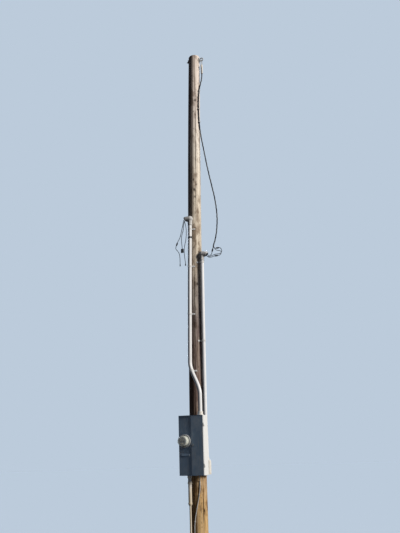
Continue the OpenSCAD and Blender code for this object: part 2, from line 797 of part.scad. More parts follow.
// Rear plate of the case, let in between its walls
module panel_rear() {
    inset = sheet_t + seat;
    color("lightsteelblue")
    difference() {
        front_slab(panel_x0 + inset, panel_x1 - inset, panel_z + inset, panel_top - inset,
            panel_back, panel_back - sheet_t, corner_r - sheet_t);
        translate([body_x, panel_back + sheet_t, outlet_z]) rotate([90, 0, 0])
            cylinder(h = 4 * sheet_t, r = nipple_r + seat);
        for (z = channel_zs) {
            translate([pole_x(z), panel_back + 1, z]) rotate([90, 0, 0])
                cylinder(h = 2 * sheet_t, d = 24);
            for (x = bolt_xs)
                translate([x, panel_back + 1, z]) rotate([90, 0, 0])
                    cylinder(h = 2 * sheet_t, d = 8 + 2 * bolt_fit);
        }
    }
}

// Bolts that hold the panel's back to nuts in the channels
module panel_bolts() {
    color("silver")
    for (z = channel_zs, x = bolt_xs)
        translate([x, panel_back, z]) {
            translate([0, -sheet_t - seat, 0]) rotate([90, 0, 0]) cylinder(h = 5, d = 15, $fn = 6);
            translate([0, -sheet_t - 3, 0]) rotate([-90, 0, 0]) cylinder(h = sheet_t + 16, d = 8);
            translate([-16, 5, -channel_h / 2 + 2.5 + seat]) cube([32, 8, channel_h - 5 - 2 * seat]);
        }
}

// Partition between the meter's side and the breakers' side
module panel_divider() {
    color("slategray")
    translate([divider_x - sheet_t / 2, panel_front + 1, panel_z + sheet_t + seat])
        cube([sheet_t, panel_d - 1 - sheet_t - seat, panel_h - 2 * sheet_t - 2 * seat]);
}

// Cover over the meter socket, with the raised seat for the sealing ring
module meter_cover() {
    color("lightsteelblue")
    difference() {
        union() {
            front_slab(cover_x0, cover_x1, meter_cover_low, panel_top - 2.5,
                cover_y, cover_y - cover_t, corner_r);
            translate([meter_x, cover_y, meter_z]) rotate([90, 0, 0])
                cylinder(h = cover_t + seat_h, d1 = ring_d + 8, d2 = ring_d - 2);
        }
        translate([meter_x, cover_y + 1, meter_z]) rotate([90, 0, 0]) cylinder(h = 20, d = glass_d - 2);
    }
}

// Lower cover, with the folded lip it is lifted by
module test_cover() {
    lip_x0 = cover_x0 + 36;
    color("lightsteelblue")
    union() {
        front_slab(cover_x0, cover_x1, panel_z + 1.5, meter_cover_low - 2.5,
            cover_y, cover_y - cover_t, corner_r);
        translate([lip_x0, cover_y - cover_t + eps, lip_z]) rotate([90, 0, 90])
            linear_extrude(cover_x1 - 26 - lip_x0) polygon([[0, 0], [-11, 4], [-11, 9], [0, lip_h]]);
    }
}

// Block with the meter's jaws, behind the cover
module socket_block() {
    jaws = 36;
    color("dimgray")
    difference() {
        translate([meter_x - 60, panel_front + jaws, meter_z - 85])
            cube([120, panel_d - jaws - sheet_t - seat, 170]);
        translate([meter_x - 22, panel_front + jaws - 1, meter_z - 70]) cube([44, 31, 140]);
    }
}

module meter_ring() {
    r = ring_d / 2;
    g = glass_d / 2;
    color("silver")
    translate([meter_x, ring_y, meter_z]) rotate([90, 0, 0])
    union() {
        rotate_extrude()
            polygon([[g + seat, 0], [r, 0], [r, ring_h - 5], [r - 3, ring_h], [g - 4, ring_h],
                [g - 4, ring_h - 3], [g + seat, ring_h - 3]]);
        // clamping ears at the ring's lower left
        rotate([0, 0, -118]) translate([r - 2, -9, 4]) cube([15, 18, 13]);
    }
}

// Moulded base of the meter, seated in the ring
module meter_base() {
    color("gray")
    translate([meter_x, ring_y, meter_z]) rotate([90, 0, 0])
    union() {
        cylinder(h = base_h, d = glass_d);
        translate([0, 0, -24]) cylinder(h = 24 + eps, d = glass_d - 8);
    }
}

// Glass: a flange under the ring and a dome with a rounded front edge
module meter_glass() {
    g = glass_d / 2;
    r1 = g - 8;
    top = ring_h + glass_h;
    round_r = 18;
    q = round_r - glass_t;
    color("white")
    translate([meter_x, ring_y, meter_z]) rotate([90, 0, 0])
        rotate_extrude()
            polygon(concat(
                [[g - 12, glass_y0], [g - 1, glass_y0]],
                [[g - 1, ring_h - 3 - seat], [g - 5, ring_h - 3 - seat]],
                [for (a = [0:15:90]) [r1 - round_r + round_r * cos(a), top - round_r + round_r * sin(a)]],
                [[0, top], [0, top - glass_t]],
                [for (a = [90:-15:0]) [r1 - round_r + q * cos(a), top - round_r + q * sin(a)]],
                [[g - 5 - glass_t, ring_h - 3 - seat]]));
}

// Drum of the meter's works inside the glass, with the face that the dials are on
module meter_register() {
    drum_r = glass_d / 2 - 12.7;
    drum_h = glass_h - 14;
    color("beige")
    translate([meter_x, ring_y, meter_z]) rotate([90, 0, 0]) translate([0, 0, base_h + seat])
    union() {
        cylinder(h = drum_h, r = drum_r);
        translate([0, 0, drum_h - 1]) cylinder(h = 4, r = drum_r - 8);
        translate([0, 16, drum_h + 2]) linear_extrude(4) rounded_box(76, 34, 5);
    }
}

// Breaker side

module dead_front() {
    color("silver")
    difference() {
        front_slab(dead_x0, dead_x1, panel_z + sheet_t + seat, panel_top - sheet_t - seat,
            dead_y + sheet_t, dead_y, corner_r - sheet_t);
        translate([breaker_x - main_w / 2 - seat, dead_y - 1, main_z - main_h / 2 - seat])
            cube([main_w + 2 * seat, sheet_t + 2, main_h + 2 * seat]);
        translate([breaker_x - branch_w / 2 - seat, dead_y - 1, branch_low_z - seat])
            cube([branch_w + 2 * seat, sheet_t + 2, branch_rows * branch_pitch + 2 * seat - 1]);
    }
}

module main_breaker() {
    color("black")
    union() {
        translate([breaker_x - main_w / 2, dead_y - 3, main_z - main_h / 2])
            cube([main_w, breaker_depth, main_h]);
        translate([breaker_x - 24, dead_y - 9, main_z - 14]) cube([48, 7, 28]);
    }
}

module branch_breakers() {
    color("black")
    for (row = [0:branch_rows - 1], side = [0, 1]) {
        x = breaker_x + (side == 0 ? -branch_w / 2 : seat);
        z = branch_low_z + row * branch_pitch;
        translate([x, dead_y - 3, z]) cube([branch_w / 2 - seat, breaker_depth, branch_pitch - 1]);
        translate([breaker_x + (side == 0 ? -30 : 18), dead_y - 9, z + 8]) cube([12, 7, branch_pitch - 17]);
    }
}

// Fixed halves of the hinges, on the box's right side
module hinge_barrels() {
    color("silver")
    for (z = hinge_zs)
        difference() {
            union() {
                translate([hinge_x, hinge_y, z - barrel_h]) cylinder(h = barrel_h, d = barrel_d);
                translate([hinge_x - barrel_d / 2, hinge_y, z - barrel_h])
                    cube([2.4, panel_front + 26 - hinge_y, barrel_h]);
            }
            translate([hinge_x, hinge_y, z - barrel_h - 1])
                cylinder(h = barrel_h + 2, r = pin_d / 2 + hinge_fit);
        }
}

// Door over the breakers, whose barrels stand on the fixed ones
module breaker_door() {
    color("lightsteelblue")
    union() {
        difference() {
            front_slab(door_x0, door_x1, door_z0, door_z1, door_y, door_y - door_d, corner_r);
            front_slab(door_x0 + sheet_t, door_x1 - sheet_t, door_z0 + sheet_t, door_z1 - sheet_t,
                door_y + 1, door_y - door_d + sheet_t, corner_r - sheet_t);
        }
        // leaf, barrel and pin of each hinge
        for (z = hinge_zs) {
            translate([hinge_x, hinge_y, z + hinge_fit]) cylinder(h = barrel_h, d = barrel_d);
            translate([door_x1 - 1, hinge_y - 2, z + hinge_fit]) cube([hinge_x - door_x1 + 1, 4, barrel_h]);
            translate([hinge_x, hinge_y, z - barrel_h - 2]) cylinder(h = barrel_h + 4, d = pin_d);
        }
    }
}

module door_latch() {
    color("silver")
    translate([door_x0 + 22, door_y - door_d - seat, (door_z0 + door_z1) / 2]) rotate([90, 0, 0])
    union() {
        cylinder(h = 5, d = 34);
        cylinder(h = 11, d = 24);
        translate([-4, -15, 10]) cube([8, 30, 9]);
    }
}

// Channels behind the panel and their lag bolts

module channels() {
    color("silver")
    for (z = channel_zs)
        difference() {
            translate([panel_x0 + 8, panel_back + seat, z - channel_h / 2])
                cube([panel_w - 16, channel_d, channel_h]);
            translate([panel_x0 + 7, panel_back + seat - 1, z - channel_h / 2 + 2.5])
                cube([panel_w - 14, channel_d - 1.5, channel_h - 5]);
            translate([pole_x(z), panel_back, z]) rotate([-90, 0, 0])
                cylinder(h = 2 * channel_d, d = lag_d + 2 * bolt_fit);
        }
}

module lag_bolts() {
    head_h = 8;
    web_y = panel_back + seat + channel_d - 2.5;
    color("silver")
    for (z = channel_zs)
        translate([pole_x(z), 0, z]) {
            gap = -pole_r(z) - seat - (panel_back + seat + channel_d);
            translate([0, web_y - seat, 0]) rotate([90, 0, 0]) cylinder(h = head_h, d = 20, $fn = 6);
            translate([0, web_y - head_h + 1, 0]) rotate([-90, 0, 0])
                cylinder(h = lag_depth - 2 - pole_r(z) - web_y + head_h - 1, d = lag_d);
            // packing washer where the tapered pole stands back from the channel
            if (gap > 1) translate([0, panel_back + 2 * seat + channel_d, 0]) rotate([-90, 0, 0])
                cylinder(h = gap - seat, d = 34);
        }
}

// Conduit that leaves the panel's bottom and goes into the ground

module drain_hub() {
    color("lightgray")
    translate([drain_x, drain_y, 0])
    difference() {
        union() {
            translate([0, 0, drain_top - drain_hub_h]) cylinder(h = drain_hub_h, r = drain_d / 2 + 7);
            translate([0, 0, drain_top - 1]) cylinder(h = sheet_t + 15, r = drain_d / 2 + 2);
            translate([0, 0, panel_z + sheet_t + seat]) cylinder(h = 8, r = drain_d / 2 + 9);
        }
        translate([0, 0, drain_top - drain_hub_h - 1])
            cylinder(h = drain_hub_h - 8, r = drain_d / 2 + seat);
        translate([0, 0, drain_top - drain_hub_h - 1]) cylinder(h = 100, r = drain_d / 2 - 2);
    }
}

module drain_conduit() {
    color("lightgray")
    translate([drain_x, drain_y, coupling_z + 2])
        cylinder(h = drain_top - 9 - seat - coupling_z - 2, d = drain_d);
}

// Compression collar around the conduit
module drain_collar() {
    color("silver")
    translate([drain_x, drain_y, collar_z])
    difference() {
        cylinder(h = 27, r = drain_d / 2 + 6, center = true);
        cylinder(h = 29, r = drain_d / 2 + seat, center = true);
    }
}

// Reducing coupling with its clamping screw
module drain_coupling() {
    color("silver")
    translate([drain_x, drain_y, coupling_z])
    difference() {
        union() {
            cylinder(h = coupling_h / 2, r = drain_d / 2 + 4);
            translate([0, 0, -coupling_h / 2])
                cylinder(h = coupling_h / 2 + 1, r1 = stub_d / 2 + 5, r2 = drain_d / 2 + 4);
            translate([0, -drain_d / 2 - 9, 10]) rotate([-90, 0, 0]) cylinder(h = 8, d = 9);
        }
        translate([0, 0, 2 - seat]) cylinder(h = coupling_h, r = drain_d / 2 + seat);
        translate([0, 0, -coupling_h]) cylinder(h = coupling_h - 2, r = spigot_d / 2 + seat);
    }
}

// Slim conduit to the ground, its upper end turned down to enter the coupling
module stub_conduit() {
    color("lightgray")
    translate([drain_x, drain_y, 0])
    union() {
        cylinder(h = stub_end_z, d = stub_d);
        cylinder(h = coupling_z - 2 - seat, d = spigot_d);
    }
}

// Earth wire, from the panel's bottom across the pole's face and down to the ground

module earth_wire() {
    color("gainsboro") tube(earth_route, earth_d / 2, 12);
}

module earth_staples() {
    color("gray")
    for (z = earth_staple_zs) staple(z, earth_turn(z), earth_d, 8);
}

pole();
eye_bolt();
eye_bolt_nut();
clamp_bail();
wedge_clamp();
service_loop();
loop_clips();
riser_a();
riser_a_straps();
riser_a_band();
riser_a_head();
riser_a_insert();
riser_a_hub();
riser_b();
riser_b_straps();
riser_b_head();
riser_b_insert();
conduit_body();
conduit_body_cover();
wire_a1();
wire_a2();
wire_a3();
connectors_a();
wire_b1();
wire_b2();
wire_b3();
connectors_b();
panel_box();
panel_rear();
panel_divider();
panel_bolts();
meter_cover();
test_cover();
socket_block();
meter_ring();
meter_base();
meter_register();
meter_glass();
dead_front();
main_breaker();
branch_breakers();
hinge_barrels();
breaker_door();
door_latch();
channels();
lag_bolts();
drain_conduit();
drain_hub();
drain_collar();
drain_coupling();
stub_conduit();
earth_wire();
earth_staples();
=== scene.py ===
# %% [markdown]
# # A timber pole with its service panel
#
# The construction comes packed, as a fixed frame in metres: every conduit, cover and bolt is already there at its
# real size. What is left for this lesson is what makes it look real: a split and bleached trunk, twisted cable,
# zinc that has gone dull, enamel on folded sheet, and light like that of a low sun.

# %% Frame
import json

import bmesh
import bpy
import numpy as np
from mathutils import Matrix, Vector


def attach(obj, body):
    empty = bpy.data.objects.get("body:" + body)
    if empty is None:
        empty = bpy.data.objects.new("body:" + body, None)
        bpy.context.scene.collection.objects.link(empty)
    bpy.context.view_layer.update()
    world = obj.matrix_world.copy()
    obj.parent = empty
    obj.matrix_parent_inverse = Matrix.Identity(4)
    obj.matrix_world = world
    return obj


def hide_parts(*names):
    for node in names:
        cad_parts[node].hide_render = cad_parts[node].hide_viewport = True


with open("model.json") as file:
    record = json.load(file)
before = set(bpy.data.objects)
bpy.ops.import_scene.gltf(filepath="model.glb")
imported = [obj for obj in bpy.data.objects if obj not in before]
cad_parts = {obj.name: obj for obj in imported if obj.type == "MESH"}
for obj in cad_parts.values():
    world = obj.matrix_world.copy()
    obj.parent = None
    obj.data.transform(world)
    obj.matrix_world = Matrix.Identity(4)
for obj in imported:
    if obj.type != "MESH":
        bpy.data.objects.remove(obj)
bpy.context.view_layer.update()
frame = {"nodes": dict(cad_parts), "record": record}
NODES = frame["nodes"]
MM = 0.001


def placed(name, data):
    """An object in the scene, made from its data."""
    made = bpy.data.objects.new(name, data)
    bpy.context.scene.collection.objects.link(made)
    return made


# %% [markdown]
# ## Camera
#
# The photograph was taken from about ten metres away and at eye height, looking up a little, with the camera held
# slightly askew. A camera at rest looks straight down with +Y at the top of its picture, so three turns aim it: the
# roll about its own line of sight, a quarter turn and the pitch about X, and the heading about Z. The focal length
# is in pixels of a 533 pixel high picture, and Blender wants millimetres of a 36 mm sensor along that same side.

# %% Camera
FRAME_HEIGHT_PX = 533
FOCAL_PX = 750
SENSOR_MM = 36
EYE = (4.324, -9.897, 1.423)
HEADING, PITCH, ROLL = np.radians([23.053, 13.75, -1.6])

lens = bpy.data.cameras.new("camera")
lens.sensor_width = SENSOR_MM
lens.lens = SENSOR_MM * FOCAL_PX / FRAME_HEIGHT_PX
lens.clip_end = 200
camera = placed("camera", lens)
camera.matrix_world = (Matrix.Translation(EYE) @ Matrix.Rotation(HEADING, 4, "Z")
                       @ Matrix.Rotation(np.pi / 2 + PITCH, 4, "X") @ Matrix.Rotation(ROLL, 4, "Z"))
bpy.context.scene.camera = camera
print("camera: %.1f mm lens" % lens.lens)

# %% [markdown]
# ## Surfaces from arrays
#
# Nearly every new piece here is a closed skin over a grid of points: rows along the piece, columns around it.
# One function turns such a grid into a mesh, and a second sweeps a circle along a path, which gives conduit,
# cable and wire. Everything is worked out in millimetres and becomes metres at this one place.


# %% Grids and tubes
def skin(name, grid, capped=True):
    """A mesh over a grid of points in mm, rows by columns, closed round its columns and capped at both ends."""
    rows, columns = grid.shape[:2]
    i, j = np.mgrid[0 : rows - 1, 0:columns]
    here, beside = i * columns + j, i * columns + (j + 1) % columns
    faces = np.stack([here, beside, beside + columns, here + columns], axis=-1).reshape(-1, 4).tolist()
    if capped:
        first = list(range(columns))
        faces += [first[::-1], [(rows - 1) * columns + c for c in first]]
    return mesh_object(name, grid.reshape(-1, 3), faces)


def mesh_object(name, points, faces):
    """An object at the origin whose mesh has these points, given in mm."""
    mesh = bpy.data.meshes.new(name)
    mesh.from_pydata((np.asarray(points) * MM).tolist(), [], faces)
    mesh.shade_smooth()
    mesh.set_sharp_from_angle(angle=np.radians(40))
    return placed(name, mesh)


def circle(sides):
    """Angles evenly round a full turn."""
    return np.linspace(0, 2 * np.pi, sides, endpoint=False)


def unit(v):
    """Each vector over its own length."""
    v = np.asarray(v, float)
    return v / np.linalg.norm(v, axis=-1, keepdims=True)


def rounded(points, steps=12):
    """A Catmull-Rom curve: each span is a cubic whose ends aim along the line between their neighbours."""
    p = np.asarray(points, float)
    q = np.concatenate([p[:1], p, p[-1:]])
    a, b, c, d = q[:-3, None], q[1:-2, None], q[2:-1, None], q[3:, None]
    t = np.arange(steps)[None, :, None] / steps
    spans = (2 * b + (c - a) * t + (2 * a - 5 * b + 4 * c - d) * t**2 + (3 * b - a - 3 * c + d) * t**3) / 2
    return np.concatenate([spans.reshape(-1, 3), p[-1:]])


def evenly(path, step):
    """Points about one step apart along a path, its two ends kept."""
    along = np.concatenate([[0], np.cumsum(np.linalg.norm(np.diff(path, axis=0), axis=1))])
    wanted = np.linspace(0, along[-1], max(2, round(along[-1] / step) + 1))
    return np.stack([np.interp(wanted, along, path[:, k]) for k in range(3)], axis=1)


def length_of(path):
    """Length of a path of points."""
    return float(np.linalg.norm(np.diff(path, axis=0), axis=1).sum())


def sideways(path):
    """Side and up at each point: side is square to the path and to +Y, which no path here follows."""
    ahead = unit(np.gradient(path, axis=0))
    side = unit(np.cross(ahead, [0, 1, 0]))
    return side, np.cross(ahead, side)


def tube(name, path, radius, sides):
    """A circle swept along a path. Its radius is one number, one for each point or one for each grid corner."""
    side, up = (v[:, None] for v in sideways(path))
    a = circle(sides)[None, :, None]
    r = np.broadcast_to(np.atleast_2d(radius), (len(path), sides))[:, :, None]
    return skin(name, path[:, None] + r * (np.cos(a) * side + np.sin(a) * up))


def joined(name, objects):
    """One object from several, with their materials."""
    with bpy.context.temp_override(active_object=objects[0], selected_editable_objects=objects):
        bpy.ops.object.join()
    objects[0].name = name
    objects[0].data.name = name
    return objects[0]


# %% [markdown]
# ## Where things are on the pole
#
# The trunk tapers and bends a little to one side. A place on it is a height, a direction round it, counted from
# the panel's side towards the right, and how far something stands off the timber. The risers, the loop and
# the wires are laid out with the same few formulas that the construction uses, so they meet their fittings.

# %% The pole's own measures
POLE_H, POLE_BASE_R, POLE_TOP_R, SWEEP = 7470, 120, 87.5, 110


def pole_r(z):
    """Radius of the trunk: it shrinks evenly with height."""
    return POLE_BASE_R + (POLE_TOP_R - POLE_BASE_R) * z / POLE_H


def pole_x(z):
    """How far the trunk's middle has moved to the right: it grows with the square of the height."""
    return SWEEP * (z / POLE_H) ** 2


def on_pole(z, turn, stand):
    """A point that stands off the trunk, turned from the front towards the right, in degrees."""
    z, turn, stand = (np.asarray(v, float) for v in (z, np.radians(turn), stand))
    reach = pole_r(z) + stand
    return np.stack(np.broadcast_arrays(pole_x(z) + reach * np.sin(turn), -reach * np.cos(turn), z), axis=-1)


def eased(t):
    """From 0 to 1 with a level start and end."""
    t = np.clip(t, 0, 1)
    return t * t * (3 - 2 * t)


def turned(v, degrees):
    """A vector turned round +Z."""
    c, s = np.cos(np.radians(degrees)), np.sin(np.radians(degrees))
    v = np.asarray(v, float)
    return np.stack([v[..., 0] * c - v[..., 1] * s, v[..., 0] * s + v[..., 1] * c, v[..., 2]], axis=-1)


# %% [markdown]
# ## Riser routes
#
# Each riser is a function of height. Its upper part is a straight leg, which leans away from the trunk as the
# trunk tapers. Below that it slides over to the fitting at its foot: the left one to the hub on the panel's top,
# the right one to the pulling elbow beside the panel.

# %% Riser routes
RISER_R = 28
STAND_LOW, STAND_TOP = 32, 46
HEAD_RUN = 63
SEAT = 0.3
PANEL_BACK, PANEL_FRONT, PANEL_LOW, PANEL_TOP = -136.209, -282.209, 1089, 1891
PANEL_LEFT, PANEL_RIGHT, DIVIDER = -156, 216, 33
HUB = (145, (PANEL_BACK + PANEL_FRONT) / 2)
BODY_Z, BODY_H = PANEL_LOW + 7, 190
BODY_OFF_POLE, BODY_Y = 36.6, -42
BODY = (pole_x(BODY_Z) + pole_r(BODY_Z) + BODY_OFF_POLE, BODY_Y)
# top, start and end of the bend, turn round the trunk at the bend and at the head, place of the foot
RISERS = {"a": (4720, 2650, 2180, -17, -5, HUB), "b": (4180, 1830, 1380, 74.5, 67.5, BODY)}


def riser_at(side, z):
    """A riser's middle at a height: its leg, mixed with its foot by a share that grows from 0 to 1 in the bend."""
    top, bend_top, bend_low, turn_low, turn_top, foot = RISERS[side]
    z = np.asarray(z, float)
    leg_z = np.minimum(z, top - HEAD_RUN)
    t = (leg_z - bend_top) / (top - HEAD_RUN - bend_top)
    stand = STAND_LOW + (STAND_TOP - STAND_LOW) * np.maximum(0, t)
    leg = on_pole(leg_z, turn_low + (turn_top - turn_low) * t, stand)
    leg[..., 2] = z
    share = eased((bend_top - z) / (bend_top - bend_low))[..., None]
    return leg * (1 - share) + np.stack(np.broadcast_arrays(*foot, z), axis=-1) * share


# %% [markdown]
# ## Cords
#
# The service loop is triplex: two jacketed conductors and one bare, laid round each other with about one turn in
# a hand's span. It hangs from its clamp, is clipped down the trunk and swings out to the right head. Its three
# strands part there, and six single wires in all hang from the two heads. Their points are listed one by one, and
# they are the construction's own, because a cord has to lie where its solid lies.

# %% Cord routes
LOOP_D, WIRE_D = 20, 9
EYE_SIDE_Z, EYE_REACH = 7428.5, 38
EYE_X = pole_x(EYE_SIDE_Z) + pole_r(EYE_SIDE_Z) + SEAT + EYE_REACH
CLAMP_LOW = 7154
HEAD_TURN = {"a": 195, "b": 4}
HEAD = {side: riser_at(side, RISERS[side][0]) + [0, 0, SEAT] for side in RISERS}
NOSE = np.array([62, 0, 40.0])
MOUTH_OUT, MOUTH_UP, ACROSS = unit([1, 0, -1]), unit([1, 0, 1]), np.array([0, 1, 0])
MOUTH_DEPTH, DISC_DROP, DISC_SINK = 15, 4, 3.4
DISC_AT = NOSE + MOUTH_DEPTH * MOUTH_OUT - DISC_DROP * MOUTH_UP
WIRE_SEATS = [(12, 0), (-8, 11), (-8, -11)]
SLEEVE_HALF = 24
# share of the way up from the loop's end to the clamp, turn round the pole, how far off the timber
LOOP_TABLE = np.array([
    [0.984, 89.6, 34], [0.963, 88.2, 29], [0.943, 85.5, 16.5], [0.921, 81.4, 8],
    [0.895, 74.2, 3.2], [0.862, 68.5, 2.2], [0.823, 66.8, 2], [0.784, 66.7, 2], [0.744, 69.2, 2],
    [0.708, 73.3, 2.4], [0.673, 79.1, 4.5], [0.633, 84.1, 13.5], [0.594, 86.6, 31], [0.544, 87.9, 56.5],
    [0.463, 88.3, 99], [0.39, 88.2, 142], [0.322, 88, 186], [0.252, 88, 228], [0.184, 87.8, 254.5],
    [0.1425, 87.5, 262], [0.107, 87.2, 260], [0.067, 86.8, 251]])


def on_head(side, points):
    """Points of a head that looks along +X from the origin, turned and moved to their riser's top."""
    return turned(points, HEAD_TURN[side]) + HEAD[side]


def from_head(side, seat, *stretches, end=()):
    """A wire's route: straight out of its bushing, stretches of points from the mouth's middle, and its end."""
    up, across = WIRE_SEATS[seat]
    start = [on_head(side, DISC_AT + up * MOUTH_UP + across * ACROSS + c * MOUTH_OUT) for c in (-DISC_SINK, 6, 22)]
    return [*start, *(on_head(side, DISC_AT) + np.concatenate(stretches)), *end]


def through_sleeve(centre, lean, way=1):
    """Four points on the straight line through a sleeve, from one end to the other."""
    reach = way * np.array([SLEEVE_HALF + 12, SLEEVE_HALF, -SLEEVE_HALF, -SLEEVE_HALF - 12])
    return np.asarray(centre, float) + reach[:, None] * unit(lean)


loop_end = HEAD["b"] + [194, 14, 182]
loop_fall = unit([-26, -2, -78])
loop_z = loop_end[2] + LOOP_TABLE[:, 0] * (CLAMP_LOW - loop_end[2])
loop_route = np.concatenate([
    [[EYE_X, 0, CLAMP_LOW - SEAT], [EYE_X, 0, CLAMP_LOW - 20]],
    on_pole(loop_z, LOOP_TABLE[:, 1], LOOP_D / 2 + LOOP_TABLE[:, 2]),
    [loop_end - 60 * loop_fall, loop_end - 25 * loop_fall, loop_end]])
loop_side = unit([-loop_fall[2], 0, loop_fall[0]])


def into_loop(degrees):
    """The last three points of a right head's wire, beside its two neighbours at the loop's end."""
    a = np.radians(degrees)
    beside = 0.6 * WIRE_D * (np.cos(a) * loop_side + np.sin(a) * ACROSS)
    return [loop_end + s * loop_fall + beside for s in (30, 14, SEAT)]


A1_SLEEVE, A1_LEAN = [-146, 6, -352], [0.4, 0, 0.92]
A1_END, A3_END = [-101, 8, -685], [-17, 14, -685]
BLOCK = np.array([-59, 2, -464])
BLOCK_H = 57
B1_SLEEVE, B1_LEAN = [97, 6, 58], [0.259, 0.02, 0.966]
B2_SLEEVE, B3_SLEEVE, LEVEL = [184, -14, 76], [148, 22, -29], [1, 0, 0]
routes = {
    "wire_a1": from_head("a", 0,
        [[-42, 2, -76], [-53, 3, -115], [-66, 4, -160], [-78, 5, -208], [-94, 6, -255], [-113, 6, -290]],
        through_sleeve(A1_SLEEVE, A1_LEAN),
        [[-165, 6, -408], [-159, 6, -428], [-145, 7, -446], [-129, 7, -466], [-115, 8, -492],
         [-106, 8, -526], [-102, 8, -580], [-101, 8, -640], A1_END]),
    "wire_a2": from_head("a", 1, [
        [-22, -10, -78], [-27, -8, -120], [-36, -6, -165], [-50, -4, -203], [-62, -2, -245], [-67, 0, -295],
        [-66, 2, -345], [-61, 2, -392], [-59, 2, -420], BLOCK + [0, 0, BLOCK_H / 2 - 12 + SEAT]]),
    "wire_a3": from_head("a", 2, [
        [-4, 13, -62], [3, 14, -100], [7, 14, -155], [5, 14, -230], [-3, 14, -300], [-18, 14, -362],
        [-31, 14, -425], [-33, 14, -500], [-25, 14, -590], [-18, 14, -640], A3_END]),
    "wire_b1": from_head("b", 0,
        [[37, 0, -15], [53, 1, -17.5], [67.5, 2, -12.7], [78, 3, -3.7], [84.3, 4, 9.2]],
        through_sleeve(B1_SLEEVE, B1_LEAN, -1), end=into_loop(180)),
    "wire_b2": from_head("b", 2,
        [[30, -12, -34], [56, -13, -37], [88, -14, -30], [124, -14, -20], [160, -14, -14], [196, -14, -16],
         [224, -14, -13], [243, -14, 3], [250, -14, 28], [242, -14, 54]],
        through_sleeve(B2_SLEEVE, LEVEL),
        [[136, -12, 82], [122, -7, 94], [116, 0, 110]], end=into_loop(-60)),
    "wire_b3": from_head("b", 1,
        [[30, 14, -37], [56, 18, -42], [84, 21, -38]],
        through_sleeve(B3_SLEEVE, LEVEL, -1),
        [[204, 22, -24], [222, 22, -8], [227, 23, 14], [216, 24, 34], [194, 24, 44], [168, 24, 50],
         [146, 22, 62], [130, 20, 80], [120, 17, 102]], end=into_loop(60)),
}
print("service loop %.2f m" % (length_of(rounded(loop_route)) * MM))

# %% [markdown]
# ## Strands
#
# A bare conductor isn't smooth: six strands lie round a seventh. Its section is a circle with six lobes, and the
# lobes turn with the distance along the wire, so the light catches it like a rope. Jacketed wire has a plain round
# section.


# %% Strands
STRAND_LAY, BUNDLE_LAY = 90, 210
STRAND_OUT, JACKET_R, BARE_R = 5.2, 4.6, 4.7
LOOP_STEP, WIRE_STEP = 6, 3
BARE_WIRES = ("wire_a3", "wire_b3")


def distances(path):
    """Distance along a path at each of its evenly spaced points."""
    return np.linspace(0, length_of(path), len(path))


def laid(path, k, offset, lay):
    """The path of strand k of three, which winds round a middle path."""
    side, up = sideways(path)
    a = 2 * np.pi * (distances(path) / lay + k / 3)[:, None]
    return path + offset * (np.cos(a) * side + np.sin(a) * up)


def conductor(name, path, radius, bare, sides):
    """A round tube, or for a bare wire one whose radius has six lobes that go round once in a strand lay."""
    if bare:
        sides = 36
        lobes = np.cos(3 * (circle(sides)[None] - 2 * np.pi * distances(path)[:, None] / STRAND_LAY))
        radius = radius * (0.84 + 0.16 * np.abs(lobes))
    return tube(name, path, radius, sides)


loop_path = evenly(rounded(loop_route), LOOP_STEP)
loop_strands = []
for k, (name, radius) in enumerate([("jacket_1", JACKET_R), ("jacket_2", JACKET_R), ("bare", BARE_R)]):
    strand = laid(loop_path, k, STRAND_OUT, BUNDLE_LAY)
    loop_strands.append(conductor("loop_" + name, strand, radius, name == "bare", 12))
wires = {}
for name, points in routes.items():
    path = evenly(rounded(points), WIRE_STEP)
    wires[name] = conductor(name + "_cord", path, WIRE_D / 2, name in BARE_WIRES, 16), path
print("wires:", ", ".join("%s %.2f m" % (n, length_of(path) * MM) for n, (_, path) in wires.items()))

# %% [markdown]
# ## Nodes
#
# Materials, the world and the floor are trees of nodes. One function adds any node with its settings and links,
# and another turns a colour, written in sRGB hex as on a screen, to the linear light that nodes work with.


# %% Node helper
def linear(code):
    """An sRGB hex colour as the linear RGBA that Blender's sockets want."""
    s = np.array([int(code[i : i + 2], 16) for i in (1, 3, 5)]) / 255
    return (*np.where(s <= 0.04045, s / 12.92, ((s + 0.055) / 1.055) ** 2.4).tolist(), 1.0)


def add(tree, kind, inputs=None, stops=None, **settings):
    """A node with its settings. Each input, by name or number, gets a value, a hex colour, another node's output,
    or a whole node, of which the main output is taken: number 2 of a Mix of colours, else number 0."""
    made = tree.nodes.new("ShaderNode" + kind)
    for name, value in settings.items():
        setattr(made, name, value)
    if stops:
        while len(made.color_ramp.elements) < len(stops):
            made.color_ramp.elements.new(1)
        for element, (place, colour) in zip(made.color_ramp.elements, stops):
            element.position, element.color = place, linear(colour)
    for name, value in (inputs or {}).items():
        if isinstance(value, bpy.types.Node):
            value = value.outputs[2 if value.bl_idname == "ShaderNodeMix" else 0]
        if isinstance(value, bpy.types.NodeSocket):
            tree.links.new(value, made.inputs[name])
        else:
            made.inputs[name].default_value = linear(value) if isinstance(value, str) else value
    return made


def seen_plainly(tree):
    """1 for a ray from the camera, off a glossy surface or through glass, and 0 for the light on the object."""
    ray = add(tree, "LightPath").outputs
    plain = add(tree, "Math", {0: ray["Is Camera Ray"], 1: ray["Is Glossy Ray"]}, operation="MAXIMUM")
    return add(tree, "Math", {0: plain, 1: ray["Is Transmission Ray"]}, operation="MAXIMUM")


# %% [markdown]
# ## Light, floor and background
#
# A low sun from the right gave the photograph its bright right edges and dark left sides. One sun lamp with a
# soft edge does that, a dim world fills the shade, and a second, wide lamp behind on the left keeps the far side
# from going black without reaching what faces the camera. The pale blue behind the object comes from the world as
# the camera sees it, with Light Path, so it adds nothing to the light on the object. The floor glows by just what
# the lamps leave it short of that colour, so it has no edge at the horizon and still takes the shadows.

